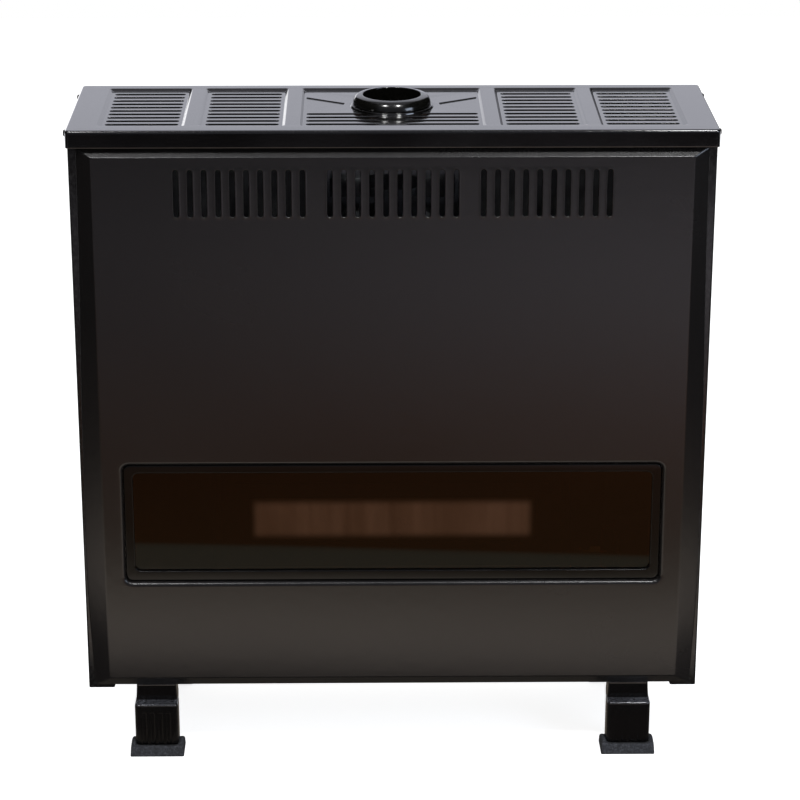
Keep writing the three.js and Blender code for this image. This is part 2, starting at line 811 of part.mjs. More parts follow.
function rubberShoe() {
  const { width, depth, height, toe, toeRise, toeRun, peak, heel, out, wall, corner } = shoe;
  const { foot, tuck, lean, sideLean } = shoe;
  const half = width / 2;
  const [front, back] = [-out, depth - out];
  const ring = (level, inset) => {
    const rise = Math.max(level - foot, 0);
    const side = half - rise * sideLean - inset;
    return rectRing(-side, front + rise * lean + inset, side, back - inset, corner, level);
  };
  const boot = solid(stack([ring(0, tuck), ring(foot, 0), ring(height, 0)]));
  const overToe = sidePlate(
    polygon([
      [front - past, toe],
      [leg.face - gap, toe + toeRise],
      [leg.face + toeRun, height + gap],
      [front - past, height + gap],
    ]),
    -half - past,
    half + past,
  );
  const overHeel = sidePlate(
    polygon([
      [peak, height],
      [back + past, heel],
      [back + past, height + past],
      [peak, height + past],
    ]),
    -half - past,
    half + past,
  );
  const socketHalf = leg.width / 2 + gap;
  const socket = roundedRect(-socketHalf, leg.face - gap, socketHalf, leg.face + leg.depth + gap, leg.corner);
  return without(boot, [overToe, overHeel, flatPlate(socket, wall, height + past)]);
}

function legBolt() {
  const head = floorPan.z + sheet + gap;
  return joined([
    bar("z", bolt.head, head, head + bolt.headHeight, [0, 0], facets.hexagon),
    bar("z", bolt.shank, head - bolt.length, head + bite, [0, 0], facets.small),
  ]);
}

for (const { name, x, y, turn } of legPlaces) {
  const stand = (body) =>
    turn ? body.rotate([0, 0, 180]).translate([x, casing.depth, 0]) : body.translate([x, 0, 0]);
  place(`leg_${name}`, stand(legBody()), finish.gloss);
  place(`shoe_${name}`, stand(rubberShoe()), finish.rubber);
  place(`leg_bolt_${name}`, legBolt().translate([x, y, 0]), finish.steel);
}

// ---------- combustion chamber and flue way ----------
function chamberShell(inset, from, to) {
  const { half, front, back, corner, neckHalf, neckDepth, shoulder, neck } = chamber;
  const ring = (halfWidth, near, far, height) =>
    rectRing(-halfWidth + inset, near + inset, halfWidth - inset, far - inset, corner, height);
  return solid(
    stack([
      ring(half, front, back, from),
      ring(half, front, back, shoulder),
      ring(neckHalf, collar.y - neckDepth, collar.y + neckDepth, neck),
      ring(neckHalf, collar.y - neckDepth, collar.y + neckDepth, to),
    ]),
  );
}

function combustionChamber() {
  const { front, half, top, bottom, wall } = chamber;
  const shell = chamberShell(0, bottom, top).subtract(chamberShell(wall, bottom - past, top - wall));
  const sightHole = roundedRect(-pane.half, pane.bottom, pane.half, pane.top, pane.corner);
  const burnerWay = venturi.mouth + plate;
  return without(shell, [
    frontPlate(sightHole, front - past, front + wall + past),
    bar("x", burnerWay, half - wall - past, half + past, [burner.y, burner.z], facets.hole),
    bar("z", flueDuct.bore + gap, top - wall - past, top + past, [0, collar.y], facets.large),
  ]);
}
place("combustion_chamber", combustionChamber(), finish.inner);

const paneBack = chamber.front - gap;
const paneFront = paneBack - pane.thick;
const paneHalf = pane.half + pane.lap;
place(
  "chamber_window",
  frontPlate(
    roundedRect(-paneHalf, pane.bottom - pane.lap, paneHalf, pane.top + pane.lap, pane.corner),
    paneFront,
    paneBack,
  ),
  finish.mica,
);

// A folded frame that clamps the chamber's window, with six screw heads.
function chamberWindowFrame() {
  const { half, bottom, top, rim, rimDepth, corner, screw: head } = pane;
  const front = paneFront - gap - sheet;
  const frame = (wide) => band(half + rim, bottom - rim, top + rim, wide, corner, corner - sheet);
  const heads = spaced(3, half + rim / 2).flatMap((x) =>
    [bottom - rim / 2, top + rim / 2].map((z) =>
      bar("y", head, front - plate, front + bite, [x, z], facets.shank),
    ),
  );
  return joined([
    frontPlate(frame(rim), front, front + sheet),
    frontPlate(frame(rimDepth), front, chamber.front - gap),
    ...heads,
  ]);
}
place("chamber_window_frame", chamberWindowFrame(), finish.inner);

function ductBody() {
  const { radius, bore, top, flange: reach } = flueDuct;
  const from = chamber.top + gap;
  const pipe = (outer, to) => bar("z", outer, from, to, [0, collar.y], facets.large, bore);
  return pipe(radius, top).add(pipe(radius + reach, from + sheet));
}
place("flue_duct", ductBody(), finish.steel);

// A box over the duct's mouth, open in front and behind, that the collar's tube draws from.
function draughtDiverter() {
  const { half, depth, bottom, aboveTube, inset, windowFrom, windowTo } = diverter;
  const [front, back] = [collar.y - depth, collar.y + depth];
  const top = collar.tubeBottom + aboveTube;
  const atCollar = [0, collar.y];
  const shell = block(-half, front, bottom, half, back, top).subtract(
    block(-half + sheet, front + sheet, bottom + sheet, half - sheet, back - sheet, top - sheet),
  );
  const window = (wall) =>
    block(-half + inset, wall - past, bottom + windowFrom, half - inset, wall + past, bottom + windowTo);
  return without(shell, [
    bar("z", flueDuct.radius + gap, bottom - past, bottom + sheet + past, atCollar, facets.large),
    bar("z", collar.mouth + sheet, top - sheet - past, top + past, atCollar, facets.large),
    window(front),
    window(back),
  ]);
}
place("draught_diverter", draughtDiverter(), finish.steel);

// A folded plate that keeps the chamber's heat off the back.
function heatShield() {
  const { half, front, bottom, top } = shield;
  const back = casing.depth - sheet - gap;
  return block(-half, front, bottom, half, back, top).subtract(
    block(-half + sheet, front + sheet, bottom - past, half - sheet, back + past, top + past),
  );
}
place("rear_heat_shield", heatShield(), finish.steel);

// ---------- burner ----------
const atBurner = [burner.y, burner.z];

function burnerTube() {
  const { half, y, z, radius, wall, ports, portRun, portWidth, portDepth } = burner;
  const top = z + radius;
  const shell = bar("x", radius, -half, half, atBurner, facets.rod).subtract(
    bar("x", radius - wall, -half + wall, half + past, atBurner, facets.rod),
  );
  const slits = spaced(ports, portRun / ports).map((x) =>
    block(x - portWidth / 2, y - radius / 2, top - portDepth, x + portWidth / 2, y + radius / 2, top + past),
  );
  return without(shell, slits);
}
place("burner_tube", burnerTube(), finish.steel);

function burnerVenturi() {
  const { collarLength, taperAt, taper, throatAt, throat, mouth, reach, wall } = venturi;
  const from = burner.half + gap;
  const outside = [
    [burner.radius, from],
    [burner.radius, from + collarLength],
    [taper, from + taperAt],
    [throat, from + throatAt],
    [mouth, chamber.half + reach],
  ];
  const inside = outside.map(([r, x]) => [r - wall, x]).reverse();
  const profile = [...outside, ...inside, outside[0]].map(([r, x]) => new THREE.Vector2(r, x));
  return solid(new THREE.LatheGeometry(profile, facets.large).rotateZ(-quarterTurn).translate(0, burner.y, burner.z));
}
place("burner_venturi", burnerVenturi(), finish.steel);

const injectorHead = injector.x + injector.nozzleLength;
const injectorEnd = injectorHead + injector.bodyLength;
place(
  "gas_injector",
  joined([
    bar("x", injector.nozzle, injector.x, injectorHead, atBurner, facets.small),
    bar("x", injector.body, injectorHead - bite, injectorEnd, atBurner, facets.hexagon),
  ]).subtract(bar("x", injector.jet, injector.x - past, injectorEnd + past, atBurner, facets.hexagon)),
  finish.brass,
);

const standBase = floorPan.z + sheet + gap; // on the base pan's floor

function burnerBracket() {
  const { x, half, foot } = burnerStand;
  const { y, z, radius } = burner;
  const saddle = bar("x", radius + gap, x - past, x + plate + past, atBurner, facets.rod);
  const upright = block(x, y - half, standBase, x + plate, y + half, z).subtract(saddle);
  return upright.add(block(x, y - half, standBase, x + foot, y + half, standBase + plate));
}
placeBoth("burner_bracket", burnerBracket(), finish.steel);

// A Z-shaped stand for one side of the chamber, with a way through for the pilot's leads.
function chamberSupport() {
  const { x, front, back, foot, wayBack, wayBottom, wayTop } = chamberStand;
  const top = chamber.bottom - gap;
  const upright = block(x, front, standBase, x + plate, back, top);
  const way = block(x - past, front - past, standBase + wayBottom, x + plate + past, wayBack, top - wayTop);
  return joined([
    upright.subtract(way),
    block(x, front, standBase, x + foot, back, standBase + plate),
    block(x, front, top - plate, x + foot, back, top),
  ]);
}
placeBoth("chamber_support", chamberSupport(), finish.steel);

// ---------- pilot ----------
function pilotBurner() {
  const { x, y, z, radius, height, nut, nutDrop } = pilot;
  const spout = radius - sheet;
  return joined([
    bar("z", radius, z - nutDrop / 2, z + height, [x, y], facets.small),
    bar("y", spout, y, y + nutDrop, [x, z + height - spout], facets.small),
    bar("z", nut, z - nutDrop, z - nutDrop / 2 + bite, [x, y], facets.hexagon),
  ]);
}
place("pilot_burner", pilotBurner(), finish.brass);

function pilotBracket() {
  const { x, y, z, spread } = pilot;
  const { drop, half, left, right, hole, armBack, armTop } = pilotPlate;
  const base = z - drop;
  const flat = block(x - left, y - half, base, x + right, y + half, base + plate);
  const holes = [x - spread, x, x + spread].map((at) =>
    bar("z", hole, base - past, base + plate + past, [at, y], facets.shank),
  );
  const foot = block(x + right - plate * 2, y - half, base, x + right, y + armBack, base + plate);
  const arm = block(x + right - plate, y - half, base, x + right, y + armBack, z - armTop);
  const saddle = bar("x", burner.radius + gap, x, x + right + past, atBurner, facets.rod);
  return joined([without(flat, holes), foot, arm]).subtract(saddle);
}
place("pilot_bracket", pilotBracket(), finish.steel);

const valveBottom = valve.z - valve.height / 2;

// A lead or pipe from the pilot down, across below the chamber at its own level and up into the valve.
function pilotRun(x, upTo, level, [endX, endY], radius) {
  const bend = 12;
  const route = [
    [x, pilot.y, upTo],
    [x, pilot.y, level],
    [endX, endY, level],
    [endX, endY, valveBottom - gap],
  ];
  return tube(route, radius, bend, facets.shank);
}

const feedEnd = [valve.x - 16, valve.y - 16];
const feedTop = pilot.z - pilot.nutDrop - gap;
place("pilot_pipe", pilotRun(pilot.x, feedTop, pilotFeed.level, feedEnd, pilotFeed.radius), finish.copper);

function thermocoupleBody() {
  const { level, lead, probe, above, below } = thermocouple;
  const x = pilot.x - pilot.spread;
  return joined([
    pilotRun(x, pilot.z, level, [valve.x + 14, valve.y - 20], lead),
    bar("z", probe, pilot.z - below, pilot.z + above, [x, pilot.y], facets.small),
  ]);
}
place("thermocouple", thermocoupleBody(), finish.copper);

const electrodeAt = [pilot.x + pilot.spread, pilot.y];
place(
  "spark_electrode",
  joined([
    bar("z", electrode.body, pilot.z - electrode.below, pilot.z + electrode.above, electrodeAt, facets.small),
    bar("z", electrode.wire, pilot.z - electrode.tail, pilot.z + electrode.tip, electrodeAt, facets.shank),
  ]),
  finish.ceramic,
);

const igniterEnd = well.floor - gap;

// The lead from the electrode under the chamber to the tail of the igniter.
function ignitionLead() {
  const { level, lead, tail } = electrode;
  const x = chamberStand.x + 65;
  const bend = 10;
  const route = [
    [...electrodeAt, pilot.z - tail - gap],
    [...electrodeAt, level],
    [x, pilot.y + 18, level],
    [x, igniter.y, level],
    [x, igniter.y, valve.z],
    [igniterEnd - igniter.length - gap, igniter.y, valve.z],
  ];
  return tube(route, lead, bend, facets.shank);
}
place("ignition_lead", ignitionLead(), finish.red);

// ---------- gas valve and controls ----------
const atValve = [valve.y, valve.z];
const atIgniter = [igniter.y, valve.z];
const valveEnd = valve.x + valve.width / 2;
const valveBack = valve.y + valve.depth / 2;

function valveBody() {
  const { x, y, z, width, depth, height, boss, bossReach, seat } = valve;
  const start = x - width / 2;
  const core = block(start, y - depth / 2, z - height / 2, valveEnd, valveBack, z + height / 2);
  const spindleBoss = bar("x", boss, valveEnd - bite, well.floor - sheet - gap, atValve, facets.pipe);
  const inletBoss = bar("y", boss, valveBack - bite, valveBack + bossReach, [x, z], facets.pipe);
  const bore = bar("x", knob.spindle + gap, valveEnd - seat, well.floor, atValve, facets.small);
  return joined([core, spindleBoss, inletBoss]).subtract(bore);
}
place("gas_valve", valveBody(), finish.steel);

// A round bar with one flat, on which the knob is keyed.
function flattedBar(radius, flat, from, to) {
  const edge = Math.acos(flat / radius);
  const shape = new THREE.Shape().absarc(...atValve, radius, quarterTurn + edge, fullTurn + quarterTurn - edge);
  return sidePlate(shape, from, to);
}

const spindleEnd = knob.start + knob.length - knob.spindleShort;
place(
  "valve_spindle",
  joined([
    bar("x", knob.spindle, valveEnd - valve.seat + past, well.floor + sheet, atValve, facets.small),
    flattedBar(knob.spindle, knob.spindleFlat, well.floor, spindleEnd),
  ]),
  finish.brass,
);

function knobGrip(from, to) {
  const teeth = knob.ribs * 2;
  const outline = Array.from({ length: teeth }, (_, i) => {
    const r = knob.grip - (i % 2 ? knob.ribDepth : 0);
    const angle = (i / teeth) * fullTurn;
    return [valve.y + r * Math.cos(angle), valve.z + r * Math.sin(angle)];
  });
  return sidePlate(polygon(outline), from, to);
}

function controlKnob() {
  const { radius, skirt, length, start, push, pointer, pointerFrom, pointerHigh, grip, spindle, spindleFlat } = knob;
  const { y, z } = valve;
  const end = start + length;
  const half = pointer / 2;
  const marker = block(end - bite, y - half, z + pointerFrom, end + pointerHigh, y + half, z + grip - half);
  const socket = flattedBar(spindle + gap, spindleFlat + gap, start - past, spindleEnd + push + 1);
  return joined([
    bar("x", radius, start, start + skirt, atValve, facets.large),
    knobGrip(start + skirt - bite, end),
    marker,
  ]).subtract(socket);
}
place("control_knob", controlKnob(), finish.plastic);

// A pressed recess in the right side that the knob and the igniter stand in.
function controlWell() {
  const { front, back, bottom, top, floor, corner, lip, lipCorner } = well;
  const rim = casing.half - sheet - gap;
  const outline = (grow, r) => roundedRect(front - grow, bottom - grow, back + grow, top + grow, r);
  const hollow = outline(-sheet, corner - sheet);
  const pan = sidePlate(outline(0, corner), floor, rim);
  const flat = sidePlate(outline(lip, lipCorner), rim - sheet, rim);
  return without(joined([pan, flat]), [
    sidePlate(hollow, floor + sheet, rim + past),
    bar("x", knob.spindle + 1, floor - past, floor + sheet + past, atValve, facets.small),
    bar("x", igniter.button + gap * 2, floor - past, floor + sheet + past, atIgniter, facets.pipe),
  ]);
}
place("control_well", controlWell(), finish.plastic);

place(
  "igniter_body",
  joined([
    bar("x", igniter.radius, igniterEnd - igniter.length, igniterEnd, atIgniter, facets.pipe),
    bar("x", igniter.radius + igniter.flange, igniterEnd - igniter.flange, igniterEnd, atIgniter, facets.hexagon),
  ]).subtract(bar("x", igniter.button, igniterEnd - igniter.socket, igniterEnd + past, atIgniter, facets.pipe)),
  finish.plastic,
);

const buttonStart = igniterEnd - igniter.socket + igniter.travel + past;
place(
  "igniter_button",
  bar("x", igniter.button - gap * 1.4, buttonStart, well.floor + igniter.buttonLength, atIgniter, facets.pipe),
  finish.red,
);

function valveBracket() {
  const { front, back, above, foot, wayFrom, wayTo, wayBottom, wayTop } = valveStand;
  const x = valve.x - valve.width / 2 - plate - gap;
  const near = valve.y - front;
  const far = valve.y + back;
  const upright = block(x, near, standBase, x + plate, far, valve.z + above);
  const base = block(x, near, standBase, x + foot, far, standBase + plate);
  const way = block(
    x - past,
    near + wayFrom,
    burner.z - wayBottom,
    x + plate + past,
    near + wayTo,
    burner.z + wayTop,
  );
  return upright.add(base).subtract(way);
}
place("valve_bracket", valveBracket(), finish.steel);

place(
  "burner_feed_pipe",
  tube(
    [
      [injectorEnd + gap, ...atBurner],
      [feed.x, ...atBurner],
      [feed.x, burner.y, feed.level],
      [valve.x, valve.y, feed.level],
      [valve.x, valve.y, valveBottom - gap],
    ],
    feed.radius,
    feed.radius * 1.75,
    facets.small,
  ),
  finish.copper,
);

const inletBore = inlet.radius - inlet.wall;
const nutTop = inlet.bottom + inlet.nutHeight;
place(
  "gas_inlet_pipe",
  tube(
    [
      [inlet.x, valveBack + valve.bossReach + gap, valve.z],
      [inlet.x, inlet.y, valve.z],
      [inlet.x, inlet.y, nutTop - inlet.engaged],
    ],
    inlet.radius,
    inlet.radius * 1.2,
    facets.pipe,
    inletBore,
  ),
  finish.steel,
);

function unionNut() {
  const { bottom, nut, radius, engaged } = inlet;
  const at = [inlet.x, inlet.y];
  const seat = nutTop - engaged;
  return without(bar("z", nut, bottom, nutTop, at, facets.hexagon), [
    bar("z", inletBore, bottom - past, seat, at, facets.pipe),
    bar("z", radius + gap, seat - gap, nutTop + past, at, facets.pipe),
  ]);
}
place("inlet_union_nut", unionNut(), finish.brass);

// ---------- frame ----------
const root = new THREE.Group();
heater.position.y = -casing.depth / 2;
root.add(heater);

export default root;
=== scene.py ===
import json
from math import atan2, cos, pi, radians, sin
import bmesh
import bpy
from mathutils import Matrix, Vector


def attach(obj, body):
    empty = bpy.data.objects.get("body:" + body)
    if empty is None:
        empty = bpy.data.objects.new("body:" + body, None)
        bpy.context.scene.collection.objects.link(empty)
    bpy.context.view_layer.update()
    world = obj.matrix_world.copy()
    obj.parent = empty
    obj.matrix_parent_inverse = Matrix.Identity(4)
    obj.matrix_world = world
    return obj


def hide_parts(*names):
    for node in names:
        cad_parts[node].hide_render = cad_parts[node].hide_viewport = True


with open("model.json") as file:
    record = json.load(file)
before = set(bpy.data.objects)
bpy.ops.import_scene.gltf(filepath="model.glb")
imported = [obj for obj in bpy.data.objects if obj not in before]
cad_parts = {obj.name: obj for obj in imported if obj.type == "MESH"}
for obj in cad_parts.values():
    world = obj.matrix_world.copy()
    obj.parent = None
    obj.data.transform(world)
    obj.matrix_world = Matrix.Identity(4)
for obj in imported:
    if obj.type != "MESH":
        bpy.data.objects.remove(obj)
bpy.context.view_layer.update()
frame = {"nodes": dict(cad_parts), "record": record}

# Pieces are shaped in millimetres, with y = 0 on the side panels' front flanges, and moved at the end.
toFrame = Matrix.Scale(0.001, 4) @ Matrix.Translation((0, -113.5, 0))
faceFront = Matrix.Rotation(pi / 2, 4, "X")  # (x, y, out) becomes (x, -out, y)
faceRight = Matrix(((0, 0, 1, 0), (1, 0, 0, 0), (0, 1, 0, 0), (0, 0, 0, 1)))  # (y, z, out) becomes (out, y, z)
faceLeft = Matrix(((0, 0, -1, 0), (1, 0, 0, 0), (0, 1, 0, 0), (0, 0, 0, 1)))
sheetWall = 1.1  # the casing's sheet

# the camera, at the photograph's angle
cameraView = {
    "place": (-0.0395, -3.3599, 1.6791), "turn": 0.857, "dip": 20.03, "roll": 0.089, "lens": 122.52,
}


def addCamera(view):
    turn, dip, roll = (radians(view[k]) for k in ("turn", "dip", "roll"))
    ahead = Vector((sin(turn) * cos(dip), cos(turn) * cos(dip), -sin(dip)))
    level = Vector((cos(turn), -sin(turn), 0))
    up = level.cross(ahead)
    right = cos(roll) * level + sin(roll) * up
    above = -sin(roll) * level + cos(roll) * up
    data = bpy.data.cameras.new("studioCamera")
    data.sensor_width = 36
    data.lens = view["lens"]
    data.clip_end = 60
    camera = bpy.data.objects.new("studioCamera", data)
    axes = Matrix((right, above, -ahead)).transposed().to_4x4()
    camera.matrix_world = Matrix.Translation(view["place"]) @ axes
    bpy.context.scene.collection.objects.link(camera)
    bpy.context.scene.camera = camera


addCamera(cameraView)
bpy.context.scene.view_settings.view_transform = "Standard"
print("camera placed")


# shader node groups that several finishes share
def newGroup(name, inputs, outputs):
    group = bpy.data.node_groups.new(name, "ShaderNodeTree")
    for label, kind, value in inputs:
        socket = group.interface.new_socket(name=label, in_out="INPUT", socket_type=kind)
        if value is not None:
            socket.default_value = value
    for label, kind in outputs:
        group.interface.new_socket(name=label, in_out="OUTPUT", socket_type=kind)
    return group, group.nodes.new("NodeGroupInput"), group.nodes.new("NodeGroupOutput")


def addNode(tree, kind, settings=None, **sockets):
    node = tree.nodes.new(kind)
    for key, value in (settings or {}).items():
        setattr(node, key, value)
    for key, value in sockets.items():
        name = key.replace("_", " ")
        if isinstance(value, bpy.types.NodeSocket):
            tree.links.new(value, node.inputs[name])
        else:
            node.inputs[name].default_value = value
    return node


def mathNode(tree, operation, first, second=None, clamp=False):
    node = tree.nodes.new("ShaderNodeMath")
    node.operation = operation
    node.use_clamp = clamp
    for socket, value in zip(node.inputs, (first, second)):
        if isinstance(value, bpy.types.NodeSocket):
            tree.links.new(value, socket)
        elif value is not None:
            socket.default_value = value
    return node.outputs[0]


def mixColour(tree, factor, first, second):
    node = tree.nodes.new("ShaderNodeMix")
    node.data_type = "RGBA"
    for index, value in ((0, factor), (6, first), (7, second)):
        if isinstance(value, bpy.types.NodeSocket):
            tree.links.new(value, node.inputs[index])
        else:
            node.inputs[index].default_value = value
    return node.outputs[2]


def fadeBetween(tree, value, start, end, low=0.0, high=1.0):
    fade = addNode(
        tree, "ShaderNodeMapRange", {"clamp": True}, Value=value,
        From_Min=start, From_Max=end, To_Min=low, To_Max=high,
    )
    return fade.outputs["Result"]


def makeGrain():
    group, into, out = newGroup(
        "surfaceGrain",
        [("Vector", "NodeSocketVector", None), ("Scale", "NodeSocketFloat", 900.0)],
        [("Height", "NodeSocketFloat")],
    )
    fine = addNode(group, "ShaderNodeTexNoise", Vector=into.outputs["Vector"], Scale=into.outputs["Scale"], Detail=3.0)
    wide = mathNode(group, "MULTIPLY", into.outputs["Scale"], 0.12)
    waves = addNode(group, "ShaderNodeTexNoise", Vector=into.outputs["Vector"], Scale=wide, Detail=1.0)
    both = mathNode(group, "MULTIPLY", waves.outputs["Fac"], 1.8)
    group.links.new(mathNode(group, "ADD", fine.outputs["Fac"], both), out.inputs["Height"])
    return group


def makePatches():
    group, into, out = newGroup(
        "softPatches",
        [("Vector", "NodeSocketVector", None), ("Scale", "NodeSocketFloat", 6.0)],
        [("Mask", "NodeSocketFloat")],
    )
    vector, scale = into.outputs["Vector"], into.outputs["Scale"]
    cloud = addNode(group, "ShaderNodeTexNoise", Vector=vector, Scale=scale, Detail=4.0, Distortion=0.6)
    group.links.new(fadeBetween(group, cloud.outputs["Fac"], 0.32, 0.68), out.inputs["Mask"])
    return group


def makeDust():
    group, into, out = newGroup(
        "settledDust",
        [
            ("Vector", "NodeSocketVector", None),
            ("Scale", "NodeSocketFloat", 700.0),
            ("Amount", "NodeSocketFloat", 0.2),
            ("Even", "NodeSocketFloat", 0.25),
        ],
        [("Mask", "NodeSocketFloat")],
    )
    vector, scale = into.outputs["Vector"], into.outputs["Scale"]
    specks = addNode(group, "ShaderNodeTexNoise", Vector=vector, Scale=scale, Detail=5.0, Roughness=0.7)
    sharp = fadeBetween(group, specks.outputs["Fac"], 0.46, 0.74)
    drift = addNode(group, "ShaderNodeTexNoise", Vector=vector, Scale=14.0, Detail=3.0)
    facing = addNode(group, "ShaderNodeNewGeometry")
    parts = addNode(group, "ShaderNodeSeparateXYZ", Vector=facing.outputs["Normal"])
    upward = mathNode(group, "MAXIMUM", parts.outputs["Z"], 0.0)
    lying = mathNode(group, "ADD", upward, into.outputs["Even"], clamp=True)
    thick = mathNode(group, "MULTIPLY", sharp, drift.outputs["Fac"])
    scaled = mathNode(group, "MULTIPLY", thick, into.outputs["Amount"])
    group.links.new(mathNode(group, "MULTIPLY", scaled, lying, clamp=True), out.inputs["Mask"])
    return group


def makeWear():
    group, into, out = newGroup(
        "edgeWear",
        [("Vector", "NodeSocketVector", None), ("Amount", "NodeSocketFloat", 0.3)],
        [("Mask", "NodeSocketFloat")],
    )
    shape = addNode(group, "ShaderNodeNewGeometry")
    edges = fadeBetween(group, shape.outputs["Pointiness"], 0.53, 0.66)
    chips = addNode(group, "ShaderNodeTexNoise", Vector=into.outputs["Vector"], Scale=260.0, Detail=4.0)
    worn = mathNode(group, "MULTIPLY", edges, fadeBetween(group, chips.outputs["Fac"], 0.45, 0.6))
    group.links.new(mathNode(group, "MULTIPLY", worn, into.outputs["Amount"], clamp=True), out.inputs["Mask"])
    return group


effects = {"grain": makeGrain(), "patches": makePatches(), "dust": makeDust(), "wear": makeWear()}


def useEffect(tree, effect, vector, **sockets):
    node = tree.nodes.new("ShaderNodeGroup")
    node.node_tree = effects[effect]
    tree.links.new(vector, node.inputs["Vector"])
    for key, value in sockets.items():
        node.inputs[key].default_value = value
    return node.outputs[0]


def makeFinish(name, look):
    material = bpy.data.materials.new(name)
    material.use_nodes = True
    tree = material.node_tree
    shader = tree.nodes["Principled BSDF"]
    where = addNode(tree, "ShaderNodeTexCoord").outputs["Object"]
    stretch = addNode(tree, "ShaderNodeMapping", Vector=where, Scale=look.get("stretch", (1, 1, 1))).outputs["Vector"]
    patches = useEffect(tree, "patches", where, Scale=look.get("patchScale", 6.0))
    colour = mixColour(tree, patches, (*look["colour"], 1), (*look["shade"], 1))
    wear = useEffect(tree, "wear", where, Amount=look.get("wear", 0.0))
    colour = mixColour(tree, wear, colour, (*look.get("bare", (0.3, 0.3, 0.3)), 1))
    amount, even = look.get("dust", 0.2), look.get("dustEven", 0.25)
    dust = useEffect(tree, "dust", where, Scale=look.get("dustScale", 700.0), Amount=amount, Even=even)
    colour = mixColour(tree, dust, colour, (*look.get("dustColour", (0.32, 0.31, 0.3)), 1))
    tree.links.new(colour, shader.inputs["Base Color"])
    low, high = look["rough"]
    rough = addNode(tree, "ShaderNodeMapRange", Value=patches, To_Min=low, To_Max=high).outputs["Result"]
    dull = mathNode(tree, "MULTIPLY", dust, 0.6)
    tree.links.new(mathNode(tree, "ADD", rough, dull, clamp=True), shader.inputs["Roughness"])
    grain = useEffect(tree, "grain", stretch, Scale=look.get("grainScale", 900.0))
    strength, deep = look.get("grain", 0.1), look.get("deep", 0.0004)
    bump = addNode(tree, "ShaderNodeBump", Height=grain, Strength=strength, Distance=deep)
    tree.links.new(bump.outputs["Normal"], shader.inputs["Normal"])
    shader.inputs["Metallic"].default_value = look.get("metal", 0.0)
    shader.inputs["IOR"].default_value = look.get("ior", 1.5)
    shader.inputs["Coat Weight"].default_value = look.get("coat", 0.0)
    shader.inputs["Coat Roughness"].default_value = look.get("coatRough", 0.05)
    return material


studio = {
    "floorSize": 9.0, "floorFront": -4.5,
    "paper": ((0.88, 0.88, 0.88, 1), (0.93, 0.93, 0.93, 1)),
    "lift": 0.8, "heaterFront": -0.1255,
    # painted reflections, seen only by glossy rays: what the front mirrors, by distance ahead of it: the heater's
    # painted shade, a pale sheet, brown boards, a floor that gets lighter
    "mirrored": (
        # painted shade of the heater, close in front of it
        (0.0, (0.08, 0.07, 0.06)),
        (0.02, (0.035, 0.03, 0.028)),
        (0.23, (0.02, 0.02, 0.022)),
        (0.29, (0.79, 0.685, 0.61)),
        (0.5, (0.7, 0.595, 0.495)),
        (0.57, (0.23, 0.205, 0.155)),
        (0.655, (0.22, 0.2, 0.145)),
        (0.662, (0.165, 0.08, 0.035)),
        (1.14, (0.15, 0.066, 0.028)),
        (1.23, (0.46, 0.205, 0.122)),
        (1.42, (0.17, 0.14, 0.135)),
        (2.1, (0.39, 0.365, 0.405)),
        (2.45, (0.7, 0.66, 0.74)),
        (2.7, (0.012, 0.01, 0.01)),
    ),
    "mirroredReach": 4.0, "sheetSlant": 0.0625,
    "mirroredSides": (0.5, 0.85),  # half width where the mirrored floor fades out
    "sidesOpen": 0.62,  # how fast it widens away from the heater
    "beside": (0.01, 0.01, 0.01, 1), "behind": (0.95, 0.96, 1.0, 1), "behindFrom": -0.3,
    # painted light: the mirrored floor grows brighter to the right
    "rightGlow": (-0.5, 0.6, 0.75, 2.1),  # from x, to x, from strength, to strength
    "rightGlowFrom": (0.6, 1.6),  # distance ahead where it sets in
    # the painted room that the enamel mirrors, by direction, seen only by glossy rays
    "backdrop": (0.66, 0.67, 0.75, 1), "backdropAhead": (0.1, 0.45), "backdropHalf": (0.42, 0.34),
    "backdropTop": (0.85, 0.65), "edgeTop": (0.15, 0.06), "paleEdge": (1.6, 1.6, 1.65, 1),
    "paleEdgeFrom": (-0.08, -0.2), "dimEdge": (0.16, 0.16, 0.18, 1), "dimEdgeFrom": (0.08, 0.2),
    "dimRoom": (0.13, 0.135, 0.16, 1), "dimRoomAhead": (-0.35, -0.7), "dimRoomHalf": (0.75, 0.5),
    "ceiling": (0.3, 0.3, 0.34, 1), "ceilingFrom": (0.8, 0.92), "ambient": 0.55,
    "lamps": (
        {"name": "leftSoftbox", "at": (-0.88, -1.75, 3.25), "size": 0.42, "power": 26.0, "tint": (1, 1, 1)},
        {"name": "rightSoftbox", "at": (0.83, -1.75, 3.25), "size": 0.42, "power": 32.0, "tint": (1, 1, 1)},
        {"name": "sideSoftbox", "at": (2.5, -2.0, 1.5), "size": 1.2, "power": 22.0, "tint": (0.72, 0.82, 1)},
    ),
    "lampsAt": (0, 0, 0.6),
}


